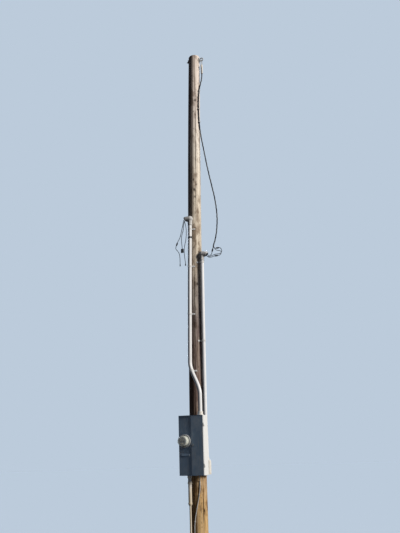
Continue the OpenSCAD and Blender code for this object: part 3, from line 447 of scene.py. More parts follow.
# %% Light and floor
LAMPS = {"sun": (unit([0.88, -0.11, 0.45]), 3.9, 20, "#FFF6EA"),
         "back_fill": (unit([-0.48, 0.82, 0.32]), 2.8, 30, "#EAF0FF")}
WORLD_FILL, FILL_TINT = 0.06, "#B9D2FF"
FLOOR_R = 60_000
BACKDROP = "#BCCBDB"

floor_light = WORLD_FILL * np.array(linear(FILL_TINT)[:3])
for name, (towards, strength, spread_deg, tint) in LAMPS.items():
    lamp = bpy.data.lights.new(name, "SUN")
    lamp.energy, lamp.angle, lamp.color = strength, np.radians(spread_deg), linear(tint)[:3]
    held = placed(name, lamp)
    held.rotation_mode = "QUATERNION"
    held.rotation_quaternion = Vector(towards).to_track_quat("Z", "Y")
    floor_light += strength * towards[2] * np.array(linear(tint)[:3]) / np.pi
print("light on the floor:", floor_light.round(2))

world = bpy.data.worlds.new("world")
bpy.context.scene.world = world
world.use_nodes = True
tree = world.node_tree
tree.nodes.clear()
fill = add(tree, "Background", {"Color": FILL_TINT, "Strength": WORLD_FILL})
pale = add(tree, "Background", {"Color": BACKDROP, "Strength": 1.0})
add(tree, "OutputWorld", {"Surface": add(tree, "MixShader", {0: seen_plainly(tree), 1: fill, 2: pale})})

ring = circle(64)
rim = np.stack([np.cos(ring), np.sin(ring), 0 * ring], axis=1) * FLOOR_R
floor = mesh_object("floor", rim, [list(range(len(ring)))])

# %% [markdown]
# ## Materials
#
# Each finish starts from what the real thing is made of. A pattern's scale is worked out from a size in
# millimetres: a noise of scale one over six millimetres has blotches about six millimetres across. Patterns read
# object coordinates, and every object sits at the origin, so they are in metres of the real pole.


# %% Shared shader steps
def blank(name):
    """A new material and its empty node tree."""
    material = bpy.data.materials.new(name)
    material.use_nodes = True
    material.node_tree.nodes.clear()
    return material, material.node_tree


def shaded(tree, look, height=None, depth_mm=0, strength=0):
    """Ends a material: the principled shader with its look, and with bump whose full height is a real depth."""
    if height is not None:
        look["Normal"] = add(tree, "Bump", {"Height": height, "Distance": depth_mm * MM, "Strength": strength})
    add(tree, "OutputMaterial", {"Surface": add(tree, "BsdfPrincipled", look)})


def spread(tree, value, low, high, least=0, most=1):
    """A value from the range low to high, taken over to the range least to most and kept inside it."""
    return add(tree, "MapRange", {0: value, 1: low, 2: high, 3: least, 4: most})


def mixed(tree, share, a, b, blend="MIX"):
    """Two colours mixed, which this node takes at inputs 6 and 7."""
    return add(tree, "Mix", {0: share, 6: a, 7: b}, data_type="RGBA", blend_type=blend)


def coords(tree, up=1):
    """Object coordinates, where a number below one for up draws a pattern out along the pole."""
    where = add(tree, "TexCoord").outputs["Object"]
    return add(tree, "Mapping", {"Vector": where, "Scale": (1, 1, up)})


def patchy(tree, size_mm, detail, up=1, roughness=0.55):
    """Soft patches of a real size, drawn out along the pole where up is below one."""
    look = {"Vector": coords(tree, up), "Scale": 1 / (size_mm * MM), "Detail": detail, "Roughness": roughness}
    return add(tree, "TexNoise", look)


def height_m(tree):
    """Height above the ground, in metres."""
    return add(tree, "SeparateXYZ", {0: coords(tree)}).outputs["Z"]


def sunward(tree, low, high):
    """How far a face looks to the sunny side, the +X part of its normal from low to high: a mask for painted light
    and shade.
    """
    facing = add(tree, "SeparateXYZ", {0: add(tree, "TexCoord").outputs["Normal"]}).outputs["X"]
    return spread(tree, facing, low, high)


def dusted_and_bounce_lit(tree, colour, dust_and_bounce):
    """A tan film from the ground up to about a metre, where an uneven line ends it, like the sand line on the
    timber
    beside it: blown dust, and painted warm light bounced from the ground."""
    patches = patchy(tree, 22, 5, 0.4, 0.7)
    reach = add(tree, "Math", {0: patches, 1: 0.8, 2: height_m(tree)}, operation="MULTIPLY_ADD")
    return mixed(tree, spread(tree, reach, 1.25, 1.52, 0.7, 0), colour, dust_and_bounce)


# %% [markdown]
# ### Weathered softwood
#
# The trunk is pine, peeled and left out for decades. Sun bleaches its upper part to cream and grey, the middle has
# kept some red, and near the ground blown sand scrubs it to tan. The side away from the sun is painted darker, as
# painted shade. Fine fibres run along it, so their pattern is drawn out thirty times along Z. The splits and knots
# come with the mesh as two attributes, and the splits are painted near black, as painted shade in their grooves. A
# third, the distance in from the rim of the cut top, draws growth rings there, about twice as far apart as real
# ones so that they show.


# %% Timber
RING_MM = 6


def timber():
    """Weathered pine: bleached by height, fibres, stains, knots, rings, and painted shade off the sun and in
    splits.
    """
    material, tree = blank("weathered_pine")
    drift = patchy(tree, 260, 3, 0.35)
    level = add(tree, "Math", {0: drift, 1: 1.1, 2: height_m(tree)}, operation="MULTIPLY_ADD")
    share = spread(tree, level, 0.55, 8.02)
    tone = add(tree, "ValToRGB", {0: share}, stops=[
        (0.0, "#D0AE74"), (0.10, "#BF9A62"), (0.17, "#957A64"), (0.28, "#705856"), (0.38, "#735F60"),
        (0.44, "#847B7D"), (0.50, "#ABA5A1"), (0.55, "#DCD3C4"), (0.68, "#E8E0D4"), (0.80, "#F4EFE9"),
        (0.92, "#F0E7E4"), (1.0, "#EADFDB")])
    fibres, bands = patchy(tree, 7, 6, 0.03, 0.65), patchy(tree, 34, 5, 0.06, 0.65)
    colour = mixed(tree, spread(tree, fibres, 0.42, 0.72), tone, mixed(tree, 0.5, tone, "#F0E8D4"))
    # dark bands, then blotches of grey and fine specks: a pattern, its range, its most and its tint
    for pattern, low, high, most, tint in (
            (bands, 0.5, 0.68, 0.6, "#83705F"), (patchy(tree, 120, 4, 0.45, 0.65), 0.51, 0.62, 0.68, "#8E7B6C"),
            (patchy(tree, 26, 3, 0.55, 0.6), 0.6, 0.7, 0.55, "#54463A")):
        colour = mixed(tree, spread(tree, pattern, low, high, 0, most), colour, tint, "MULTIPLY")
    # painted shade: the side away from the sun is darkened in the colour itself
    painted_shade_side = mixed(tree, 1, colour, "#A8A19D", "MULTIPLY")
    colour = mixed(tree, sunward(tree, -0.05, 0.4), painted_shade_side, colour)
    # the splits are painted near black, as painted shade in their grooves; the knots are darker wood
    for mark, dark in (("split", "#1E1712"), ("knot", "#2E2018")):
        colour = mixed(tree, add(tree, "Attribute", attribute_name=mark).outputs["Fac"], colour, dark)
    # the late wood, a dark line in each growth ring
    inward = add(tree, "Attribute", attribute_name="inward").outputs["Fac"]
    late = add(tree, "Math", {0: inward, 1: RING_MM / 2}, operation="PINGPONG")
    late = spread(tree, late, 0.2 * RING_MM, 0.45 * RING_MM, 0, 0.7)
    colour = mixed(tree, late, colour, "#4E4238", "MULTIPLY")
    grain = add(tree, "Math", {0: fibres, 1: 0.6, 2: bands}, operation="MULTIPLY_ADD")
    shaded(tree, {"Base Color": colour, "Roughness": 0.9, "Specular IOR Level": 0.1}, grain, 2.2, 0.75)
    return material


# %% [markdown]
# ### Metals
#
# Hot-dip zinc is bright when new and turns to a soft grey film, blotchy at the scale of its crystals. The conduit
# is drawn tube with a thin zinc coat, which stays smoother. The heads and fittings are cast aluminium, grained by
# the sand of their moulds. Years outdoors give them all a dull skin of oxide, which scatters light as chalk does.
# So little of the surface is metallic here and its gloss is low, and the IOR stays as it is.


# %% Metals
def zinc(name, light, dark, rough, crystal_mm, bump_mm, metallic=0.05, painted_shade=None, dust_and_bounce=None):
    """A zinc or cast surface: cells a few millimetres across, each a little lighter or darker and rougher. Painted
    shade darkens the side away from the sun, and near the ground a tan film is blown dust and painted bounce light."""
    material, tree = blank(name)
    cells = add(tree, "TexVoronoi", {"Vector": coords(tree), "Scale": 1 / (crystal_mm * MM)}).outputs["Color"]
    cell_tone = add(tree, "SeparateColor", {0: cells})
    tone = add(tree, "Math", {0: cell_tone, 1: 0.35, 2: patchy(tree, 45, 5, 0.5, 0.6)}, operation="MULTIPLY_ADD")
    colour = mixed(tree, spread(tree, tone, 0.35, 0.95), light, dark)
    # painted shade: the side away from the sun is darkened in the colour itself
    if painted_shade:
        colour = mixed(tree, sunward(tree, -0.1, 0.35), mixed(tree, 1, colour, painted_shade, "MULTIPLY"), colour)
    if dust_and_bounce:
        colour = dusted_and_bounce_lit(tree, colour, dust_and_bounce)
    roughness = spread(tree, tone, 0.3, 1, rough - 0.08, rough + 0.14)
    shaded(tree, {"Base Color": colour, "Roughness": roughness, "Metallic": metallic, "Specular IOR Level": 0.2},
           patchy(tree, crystal_mm / 3, 3), bump_mm, 0.35)
    return material


# %% [markdown]
# ### Enamel, rubber, mouldings and glass
#
# The panel is folded steel with baked enamel: slightly orange-peeled, with chalky patches and dust in long
# streaks. Its side to the sun is painted pale as painted sunlight, and its front paint is darkened as painted
# shade.
# The cable jacket is black polyethylene, a shade paler where it has weathered. Mouldings are phenolic or ABS.


# %% Coatings and plastics
def enamel(name, colour, chalk_and_painted_sunlight):
    """Baked enamel on sheet steel: orange peel two millimetres across, chalky patches, painted sunlight on the
    sunny side.
    """
    material, tree = blank(name)
    patches = patchy(tree, 120, 5, 0.6, 0.6)
    chalky = spread(tree, patches, 0.45, 0.8, 0, 0.25)
    streaks = spread(tree, patchy(tree, 16, 4, 0.04, 0.6), 0.56, 0.8, 0, 0.4)
    # painted sunlight: the side to the sun is painted pale; the chalky patches are random chalking
    for cover, tint in ((sunward(tree, 0.15, 0.7), chalk_and_painted_sunlight), (chalky, chalk_and_painted_sunlight), (streaks, "#A79C88")):
        colour = mixed(tree, cover, colour, tint)
    roughness = spread(tree, patches, 0.3, 0.8, 0.38, 0.62)
    shaded(tree, {"Base Color": colour, "Roughness": roughness, "Specular IOR Level": 0.35, "Coat Weight": 0.06,
                  "Coat Roughness": 0.3}, patchy(tree, 2.2, 2), 0.12, 0.3)
    return material


def moulded(name, colour, worn, rough, specular=0.5):
    """A moulded plastic or rubber, a little paler where it has weathered."""
    material, tree = blank(name)
    weather = patchy(tree, 30, 5, 0.5, 0.6)
    colour = mixed(tree, spread(tree, weather, 0.45, 0.8, 0, 0.7), colour, worn)
    roughness = spread(tree, weather, 0.3, 0.8, rough - 0.08, rough + 0.12)
    shaded(tree, {"Base Color": colour, "Roughness": roughness, "Specular IOR Level": specular},
           patchy(tree, 1.5, 2), 0.08, 0.3)
    return material


def clear_glass():
    """A moulded clear cover, thin enough to let sunlight straight through: a shiny skin with low alpha."""
    material, tree = blank("meter_cover_clear")
    shaded(tree, {"Base Color": "#DDE6E6", "Roughness": 0.05, "IOR": 1.47, "Alpha": 0.22})
    return material


# %% [markdown]
# ### What wears which finish
#
# Each finish is made once, under the name of the material slot that wears it. A few nodes get a look of their
# own. The floor is matt and dark, so it throws little light back, and seen plainly it glows up to the backdrop's
# colour.

# %% Finishes
# a tan film near the ground: blown dust, and painted warm light bounced up from the ground
DUST_AND_BOUNCE = "#BFAE8A"
FINISH = {
    "timber": timber(),
    "galvanised": zinc("hot_dip_zinc", "#C9CBCC", "#9A9EA1", 0.5, 9, 0.12),
    # the conduits and the heads get painted shade on their side away from the sun
    "conduit_metal": zinc("drawn_conduit", "#F1F4F9", "#DEE3EA", 0.42, 5, 0.05, painted_shade="#B4B4B4", dust_and_bounce=DUST_AND_BOUNCE),
    "cast_fitting": zinc("cast_aluminium", "#ECEBE7", "#D8D7D3", 0.5, 3, 0.18, dust_and_bounce=DUST_AND_BOUNCE),
    "head_casting": zinc("cast_head", "#E2E4E6", "#B9BCC0", 0.5, 3, 0.2, metallic=0, painted_shade="#8A8A8C"),
    # the light grey enamel is darkened to slate blue, as painted shade on the front
    "panel_enamel": enamel("baked_enamel", "#667A90", "#E2E6E9"),
    "inner_plate": enamel("inner_enamel", "#9BA3A9", "#BFC4C6"),
    "cable_jacket": moulded("cable_polyethylene", "#0E0F14", "#1A1C22", 0.6, 0.2),
    "bare_strand": zinc("aluminium_strand", "#7E8183", "#55585A", 0.45, 4, 0.04),
    "moulding": moulded("phenolic", "#16171A", "#303235", 0.45),
    "meter_moulding": moulded("meter_drum", "#E4E5DA", "#D6D7CC", 0.35),
    "dial_plate": moulded("dial_card", "#D8D2C0", "#C9C2AE", 0.6),
    "clear_cover": clear_glass(),
    "bright_zinc": zinc("new_zinc", "#E6E8EA", "#C9CCCF", 0.42, 6, 0.08),
    "latch_nylon": moulded("latch_nylon", "#5B636B", "#6C737A", 0.45),
    "meter_face": moulded("meter_face_abs", "#5C6064", "#6E7276", 0.45),
    "ring_alloy": zinc("anodised_ring", "#A9ADB1", "#8D9296", 0.45, 4, 0.05),
}
LOOKS = {"riser_a_straps": "bright_zinc", "riser_b_straps": "bright_zinc", "conduit_body_cover": "cast_fitting",
         "meter_ring": "ring_alloy", "door_latch": "latch_nylon"}
SLOTS = {part["node"]: part["material_slot"] for part in frame["record"]["subparts"]}


def dressed(piece, finish):
    """Gives a piece this material in place of any that it had."""
    piece.data.materials.clear()
    piece.data.materials.append(finish)


def finished(piece, slot, body="frame", replaced=(), look=None):
    """Gives a new piece the finish of its slot or its own look, and its body, and hides the solids it stands for.
    """
    dressed(piece, FINISH[look or slot])
    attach(piece, body)
    if replaced:
        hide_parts(*replaced)


for node, slot in SLOTS.items():
    dressed(NODES[node], FINISH[LOOKS.get(node, slot)])

floor_finish, tree = blank("pale_floor")
seen = seen_plainly(tree)
glow = np.array(linear(BACKDROP)[:3]) * (1 - floor_light)
shaded(tree, {"Base Color": mixed(tree, seen, "#4A4338", BACKDROP), "Roughness": 1, "Specular IOR Level": 0,
              "Emission Color": (*glow.tolist(), 1), "Emission Strength": seen})
dressed(floor, floor_finish)
print("materials:", len(FINISH))

# %% [markdown]
# ## Cords are declared
#
# The loop's three strands get their finishes and are joined into one piece, each wire gets its finish, and the
# solids they stand for are hidden. The left head's wires end in caps and a block, and the right head's run into
# the loop.

# %% Cords are dressed
for strand in loop_strands:
    dressed(strand, FINISH["bare_strand" if "bare" in strand.name else "cable_jacket"])
service_loop = joined("service_loop_triplex", loop_strands)
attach(service_loop, "frame")
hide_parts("service_loop")
for name, (wire, path) in wires.items():
    side = name[len("wire_")]
    finished(wire, "bare_strand" if name in BARE_WIRES else "cable_jacket", replaced=[name])

# %% [markdown]
# ## The trunk
#
# The real one is a peeled pine pole. As it dried it split along the fibres, which wind slowly round the trunk. A
# plain cylinder with bump would show a perfect outline, so the trunk is a grid that is really dented. Its columns
# follow the fibres, and they stand closer together at each split, so a split a few millimetres wide has edges and
# a floor of its own without a fine mesh everywhere else.

# %% Trunk
# turn, low end, high end, half width, depth
SPLITS = [
    (-38, 5200, 7440, 4.5, 16), (24, 4700, 6900, 3.5, 12), (70, 5600, 7460, 4, 15), (128, 3000, 7200, 5, 18),
    (190, 2200, 5200, 4, 14), (235, 200, 2600, 4, 13), (262, 4300, 7100, 4.5, 15), (301, 1500, 4400, 3.5, 12),
    (8, 2300, 4300, 4, 14), (52, 100, 1700, 4.5, 14), (96, 1900, 3900, 3.5, 12), (338, 60, 1500, 4, 13)]
# turn, height, size
KNOTS = [(33, 6690, 26), (12, 5390, 22), (20, 5230, 30), (28, 5120, 20), (60, 4260, 24), (14, 4330, 18),
         (40, 3780, 24), (-8, 2860, 20), (110, 6100, 26), (150, 4900, 22), (200, 6500, 24), (250, 5500, 20),
         (300, 3600, 26), (180, 3300, 22), (230, 2200, 24), (120, 1600, 20), (60, 620, 24), (330, 420, 20),
         (170, 760, 22), (80, 2650, 20)]
ROWS = 470
FIBRE_TURN = 16
SPLIT_SPAN, CLEAR_SPAN = 0.045, 0.02

split_turns = np.radians([s[0] for s in SPLITS])
near = (split_turns[:, None] + np.array([-1, -0.5, 0, 0.5, 1]) * SPLIT_SPAN).ravel()
plain = circle(128)
gap = np.abs((plain[:, None] - near[None] + np.pi) % (2 * np.pi) - np.pi).min(axis=1)
columns = np.sort(np.concatenate([plain[gap > CLEAR_SPAN], near % (2 * np.pi)]))
heights = np.linspace(0, POLE_H, ROWS)[:, None]


def fibre_drift(z):
    """How far the fibres have wound round the trunk at a height, in radians, with a slight waver."""
    return np.radians(FIBRE_TURN) * z / POLE_H + 0.02 * np.sin(z / 310) + 0.012 * np.sin(z / 127 + 1)


def trunk_dents(fibre, z):
    """Depth of the surface below the plain taper, in mm, with the share of split and knot at each point."""
    angle = fibre + fibre_drift(z)
    dent = 1.6 + 0.9 * np.sin(2 * angle + z / 820) + 0.7 * np.sin(3 * angle - z / 530)
    for waves, size, speed in ((11, 0.5, 900), (19, 0.4, 640), (31, 0.3, 480), (47, 0.25, 300)):
        dent = dent + size * np.sin(waves * fibre + 1.7 * np.sin(z / speed + waves))
    split = np.zeros(np.broadcast(fibre, z).shape)
    for turn, low, high, half_width, depth in SPLITS:
        along = np.clip((z - low) / (high - low), 0, 1)
        open_share = np.sqrt(np.sin(np.pi * along)) * (0.75 + 0.25 * np.sin(z / 97 + turn))
        away = np.abs((fibre - np.radians(turn) + np.pi) % (2 * np.pi) - np.pi) * pole_r(z)
        share = np.clip(1 - away / np.maximum(half_width * open_share, 0.05), 0, 1) ** 0.6
        dent = dent + depth * open_share * share
        split = np.maximum(split, share * np.clip(open_share * 2, 0, 1))
    knot = np.zeros_like(split)
    for turn, height, size in KNOTS:
        across = ((angle - np.radians(turn) + np.pi) % (2 * np.pi) - np.pi) * pole_r(z)
        away = np.hypot(across, (z - height) / 1.35) / size
        dent = dent - 2.2 * np.exp(-((away - 0.9) ** 2) * 6) + 2.5 * np.exp(-(away**2) * 9)
        knot = np.maximum(knot, np.clip(1.25 - 1.3 * away, 0, 0.9))
    return dent, split, knot


dent, split, knot = trunk_dents(columns[None], heights)
# the front is counted from -Y towards +X, so a turn of 0 points to -Y
angle = columns[None] + fibre_drift(heights) - np.pi / 2
EDGE_H, EDGE_IN = 14, 6
reach = pole_r(heights) - dent - EDGE_IN * np.clip((heights - (POLE_H - EDGE_H)) / EDGE_H, 0, 1) ** 2
side_grid = np.stack([pole_x(heights) + reach * np.cos(angle), reach * np.sin(angle),
                      heights + 0 * angle], axis=-1)

# the cut top: rings towards the middle, worn lower at its rim and split from the middle outwards
outward = np.linspace(0.97, 0.02, 26)[:, None]
top_split = np.clip(1 - np.abs(np.sin(1.5 * (columns[None] - 0.6))) * outward * 30, 0, 1) * (outward < 0.9)
top_grid = np.stack([
    pole_x(POLE_H) + (side_grid[-1:, :, 0] - pole_x(POLE_H)) * outward, side_grid[-1:, :, 1] * outward,
    POLE_H - 1 - 3 * outward**4 - 9 * top_split], axis=-1)
side_grid[-1, :, 2] -= 5
trunk = skin("trunk", np.concatenate([side_grid, top_grid]))
none = 0 * top_split
for label, on_side, on_top in (("split", split, top_split), ("knot", knot, none),
                               ("inward", 0 * dent, (1 - outward) * POLE_TOP_R + none)):
    value = np.concatenate([on_side, on_top]).astype(np.float32).ravel()
    trunk.data.attributes.new(label, "FLOAT", "POINT").data.foreach_set("value", value)
finished(trunk, "timber", replaced=["pole"])
print("trunk: %d columns, %d faces" % (len(columns), len(trunk.data.polygons)))

# %% [markdown]
# ## Risers and earth wire
#
# Drawn conduit has a true round section and bends in even curves, so a fine tube along the riser's own route is
# all it needs. The earth wire is armoured with a steel strip wound round it: its radius has small ridges along it.

# %% Risers and earth wire
for side, bend_rows, low_z in (("a", 33, [2100, 2000, PANEL_TOP + 32]), ("b", 25, [BODY_Z + BODY_H + 4])):
    top, bend_top, bend_low = RISERS[side][:3]
    z = np.concatenate([np.linspace(top, bend_top + 60, 12), np.linspace(bend_top, bend_low, bend_rows), low_z])
    conduit = tube("riser_%s_conduit" % side, riser_at(side, z)[::-1], RISER_R, 48)
    finished(conduit, "conduit_metal", replaced=["riser_" + side])

EARTH_X, EARTH_Y = 87, PANEL_BACK - 22
EARTH_LOW, EARTH_FOOT, EARTH_STAND = 970, 380, 7
EARTH_R, EARTH_STEP = 5.6, 1.5
ARMOUR_PITCH, ARMOUR_RIDGE = 6, 0.4

# from under the panel it goes down and a little round to the left, then straight into the ground
earth_z = np.concatenate([np.arange(EARTH_LOW + 40, EARTH_FOOT, -35), [300, 150, 0]])
earth_turn = -9 + 41 * eased((earth_z - EARTH_FOOT) / (EARTH_LOW - EARTH_FOOT))
earth_route = np.concatenate([
    [[EARTH_X, EARTH_Y, PANEL_LOW + 24], [EARTH_X, EARTH_Y, PANEL_LOW - 8]],
    on_pole(earth_z, earth_turn, EARTH_STAND)])
earth_path = evenly(rounded(earth_route, 8), EARTH_STEP)[::-1]
winding = np.pi * np.arange(len(earth_path)) * EARTH_STEP / ARMOUR_PITCH
armour = tube("earth_wire_armour", earth_path, (EARTH_R + ARMOUR_RIDGE * np.abs(np.sin(winding)))[:, None], 20)
finished(armour, "galvanised", replaced=["earth_wire"])

# %% [markdown]
# ## Service heads
#
# A service head is a cast hood clamped on the riser: a dome over the conduit, drawn out into a nose whose mouth
# looks down and forward so that rain can't enter. The hood is a surface of revolution about the line through the
# dome and the nose. Points that would pass the mouth's plane are laid back onto it, which cuts the mouth, and a
# rounded rim stands round it. A moulded disc with a bushing for each wire closes it.


# %% Service heads
DOME_R, NOSE_R, DOME_RISE = 44, 38, 42
COLLAR_R, COLLAR_H = 34, 55
DISC_R = 28


def revolved(profile, origin, axis, sides=48):
    """A profile of radius and distance, turned round an axis that starts at an origin: a grid of points."""
    axis = unit(axis)
    side = unit(np.cross(axis, [0, 1, 0]) if abs(axis[1]) < 0.9 else np.cross(axis, [0, 0, 1]))
    up = np.cross(axis, side)
    a = circle(sides)[None, :, None]
    r, h = (np.asarray(profile, float)[:, k][:, None, None] for k in (0, 1))
    return np.asarray(origin, float) + h * axis + r * (np.cos(a) * side + np.sin(a) * up)


def hood(side):
    """Both spheres and the cone between them as one profile, cut at the mouth, on its collar."""
    dome = np.array([0, 0, DOME_RISE])
    span = np.linalg.norm(NOSE - dome)
    lean = np.arccos((DOME_R - NOSE_R) / span)
    back, fore = np.linspace(np.pi - 0.02, lean, 22), np.linspace(lean, 0.02, 60)
    t = np.linspace(0, 1, 12)[1:-1]
    cone_from, cone_to = DOME_R * np.cos(lean), span + NOSE_R * np.cos(lean)
    profile = np.concatenate([
        np.stack([DOME_R * np.sin(back), DOME_R * np.cos(back)], axis=1),
        np.stack([(DOME_R + (NOSE_R - DOME_R) * t) * np.sin(lean), cone_from + (cone_to - cone_from) * t], axis=1),
        np.stack([NOSE_R * np.sin(fore), span + NOSE_R * np.cos(fore)], axis=1)])
    grid = revolved(profile, dome, NOSE - dome, 96)
    # a shallow rib runs over the top of the casting, where the two halves of its mould met
    grid[..., 2] += 1.4 * (grid[..., 2] > DOME_RISE) * np.exp(-((grid[..., 1] / 3.0) ** 2))
    mouth = NOSE + MOUTH_DEPTH * MOUTH_OUT
    grid = grid - np.maximum((grid - mouth) @ MOUTH_OUT, 0)[..., None] * MOUTH_OUT
    rim = np.add([(-5.5, -2), (-5.5, 1), (-4.7, 2), (-0.4, 2), (0.9, 1.2), (1.4, -0.6), (0.8, -3)],
                 [np.sqrt(NOSE_R**2 - MOUTH_DEPTH**2), 0])
    collar = np.concatenate([
        np.add([(-4, 0), (-0.8, 0), (0, 0.8), (0, 6), (-1.5, 7.5)], [COLLAR_R, -COLLAR_H]),
        np.add([(-1.5, -9), (1, 2), (3, 14)], [COLLAR_R, 0])])
    return [skin("hood", on_head(side, grid)),
            skin("rim", on_head(side, revolved(rim, mouth, MOUTH_OUT, 72)), capped=False),
            skin("collar", on_head(side, revolved(collar, (0, 0, 0), (0, 0, 1), 64)))]


def bushed_disc(side):
    """The moulded disc in the mouth, with a raised ring round each wire."""
    centre = DISC_AT - DISC_SINK * MOUTH_OUT
    plate = [(DISC_R - 0.6, 0), (DISC_R, 1), (DISC_R, 3.4), (DISC_R - 1, 4.4), (0.3, 4.4)]
    parts = [skin("disc", on_head(side, revolved(plate, centre, MOUTH_OUT)))]
    r = WIRE_D / 2
    ring = [(r + 0.4, 3), (r + 3.4, 3.4), (r + 3, 7), (r + 0.4, 7.4)]
    for up, across in WIRE_SEATS:
        seat = centre + up * MOUTH_UP + across * ACROSS
        parts.append(skin("bushing", on_head(side, revolved(ring, seat, MOUTH_OUT, 24)), capped=False))
    return parts


def screw(place, axis, size):
    """A pan-head screw: a low dome with a rounded edge."""
    a = np.linspace(0, np.pi / 2, 6)
    dome = np.stack([size * np.cos(a) * 0.98, size * 0.45 * np.sin(a)], axis=1)[:-1]
    return skin("screw", revolved([(size, -1.0), *dome, (0.2, size * 0.45)], place, axis, 16))


for side, turn in HEAD_TURN.items():
    screws = [screw(on_head(side, [0, s * (COLLAR_R - 2), -34]), turned([0, s, 0], turn), 6) for s in (-1, 1)]
    casting = joined("head_%s_casting" % side, [*hood(side), *screws])
    finished(casting, "head_casting", replaced=["riser_%s_head" % side])
    disc = joined("head_%s_disc" % side, bushed_disc(side))
    finished(disc, "moulding", replaced=["riser_%s_insert" % side])
print("service heads:", len(HEAD))

# %% [markdown]
# ## The tension clamp
#
# A wedge clamp grips the cable's bare conductor: a tapering cast trough with ribs across it and a wedge driven in
# from above, hung from the eye by its bail. The body is a superellipse swept up the clamp, thicker at each rib, and
# the wedge is a second, slimmer one that stands out of the trough's top.

# %% Tension clamp
CLAMP_H, CLAMP_W, CLAMP_T, CLAMP_GRIP = 150, 33.4, 30, 22


def squared(sides, power):
    """The two coordinates of a unit superellipse: a circle at power 1, and squarer as the power falls."""
    a = circle(sides)
    return [np.sign(f) * np.abs(f) ** power for f in (np.cos(a), np.sin(a))]


def swept_box(name, centre, rows):
    """A superellipse in the plane of the ground, swept up: each row gives a height and its two half widths."""
    h, w, d = np.asarray(rows, float).T[..., None]
    x, y = squared(40, 0.4)
    return skin(name, np.stack([w * x, d * y, h + 0 * x], axis=-1) + centre)


RIB_PITCH, RIB_H, TAPER = 25, 0.9, 7
clamp_z = np.linspace(0, CLAMP_H, 90)
rib = RIB_H * np.clip(np.sin(2 * np.pi * clamp_z / RIB_PITCH), 0, 1) ** 0.5 - RIB_H
ends = np.minimum(1, np.minimum(clamp_z, CLAMP_H - clamp_z) / 2.5 + 0.55) ** 0.5
half_w = CLAMP_W / 2 - TAPER + TAPER * clamp_z / CLAMP_H
body = swept_box("body", (EYE_X, 0, CLAMP_LOW),
                 np.stack([clamp_z, (CLAMP_T / 2 + rib) * ends, half_w * ends], axis=1))
wedge = swept_box("wedge", (EYE_X, 0, CLAMP_LOW + CLAMP_H - 4),
                  [(0, 5.5, 8), (14, 5.5, 8.6), (16, 4.6, 7.6), (17, 2.5, 5)])
lugs = [swept_box("lug", (EYE_X, k * (CLAMP_W / 2 + 6), CLAMP_LOW + CLAMP_H - CLAMP_GRIP - 12.3),
                  [(0, 4.5, 6.6), (1.2, 5.8, 7.8), (10.8, 5.8, 7.8), (12, 4.5, 6.6)]) for k in (-1, 1)]
finished(joined("tension_clamp", [body, wedge, *lugs]), "cast_fitting", replaced=["wedge_clamp"])
print("clamp: %.0f mm long" % CLAMP_H)

# %% [markdown]
# ## The meter
#
# Behind its clear cover a meter is a pale moulded drum with a darker face. The low sun strikes the drum's side
# through the cover, so the photograph shows a bright crescent beside a dark face. The face carries five number
# wheels in a window, a slot with the edge of the turning disc, and small dials above a plate that stays bare.


# %% Meter
METER_DROP, RING_SEAT, METER_BASE = 343, 7.6, 14
METER = np.array([(PANEL_LEFT + DIVIDER) / 2, PANEL_FRONT - RING_SEAT - METER_BASE, PANEL_TOP - METER_DROP])
DRUM_R = 66.3
NUMERAL_H, NUMERAL_OUT = 15, 80.4
OUT = np.array([0, -1.0, 0])
WHEEL_X = [-26 + 13 * k for k in range(5)]
DIALS = [(-27 + 18 * k, 43 - 4 * abs(k - 1.5)) for k in range(4)]


def plate(name, x, z, width, height, low, high, power=0.35, sides=40):
    """A slab on the face whose outline is a superellipse, so its corners are round."""
    x_share, z_share = squared(sides, power)
    edge = np.stack([width / 2 * x_share, 0 * x_share, height / 2 * z_share], axis=1)
    shrink = np.array([1, 1, 1 - 1.2 / height])[:, None, None]
    level = np.array([low, high - 0.6, high])[:, None, None] * OUT
    return skin(name, METER + [x, 0, z] + edge[None] * shrink + level)


def numeral(text, x, z):
    """A numeral on a number wheel, as a mesh: text lies flat at first, then is stood up to face the front."""
    curve = bpy.data.curves.new("numeral", "FONT")
    curve.body, curve.size, curve.extrude = text, NUMERAL_H * MM, 0.1 * MM
    curve.align_x, curve.align_y = "CENTER", "CENTER"
    flat = placed("numeral", curve)
    mesh = bpy.data.meshes.new_from_object(flat)
    bpy.data.objects.remove(flat)
    mesh.transform(Matrix.Translation((METER + [x, -NUMERAL_OUT, z]) * MM) @ Matrix.Rotation(np.pi / 2, 4, "X"))
    return placed("numeral", mesh)


rows = np.array([0, 0.6, 1.2, 30, 31, 32.5, 33.5, 70.5, 72.5, 73.6, 74])
radii = DRUM_R - np.array([2, 0.4, 0, 0, 1.2, 1.2, 0, 0, 0.6, 1.8, 3.2])
drum_profile = [*zip(radii, rows), (DRUM_R - 6, 74), (DRUM_R - 6.5, 73), (0.4, 73)]
finished(skin("meter_drum", revolved(drum_profile, METER, OUT, 96)), "meter_moulding", replaced=["meter_register"])
face = [skin("disc", revolved([(58, 72), (58, 75.6), (57.2, 76.4), (0.4, 76.4)], METER, OUT, 80)),
        plate("bezel", 0, 16, 76, 34, 76, 79.5), plate("slot", 0, -14, 60, 13, 76, 77.6)]
finished(joined("meter_face", face), "moulding", look="meter_face")
dark = [plate("window", 0, 16, 68, 24, 79, 79.9), plate("disc_window", 0, -14, 52, 6.5, 77, 77.9)]
finished(joined("meter_windows", dark), "moulding")
dial = [(6.2, 76), (6.2, 76.9), (5.8, 77.1), (0.2, 77.1)]
pale = [plate("wheel", x, 16, 10.5, 18, 79.5, 80.2, 0.5, 24) for x in WHEEL_X]
pale += [skin("dial", revolved(dial, METER + [x, 0, z], OUT, 24)) for x, z in DIALS]
pale += [plate("disc_edge", 0, -14, 50, 2.2, 77.5, 78.2, 0.8), plate("bare_plate", 0, -37, 44, 18, 76, 76.9)]
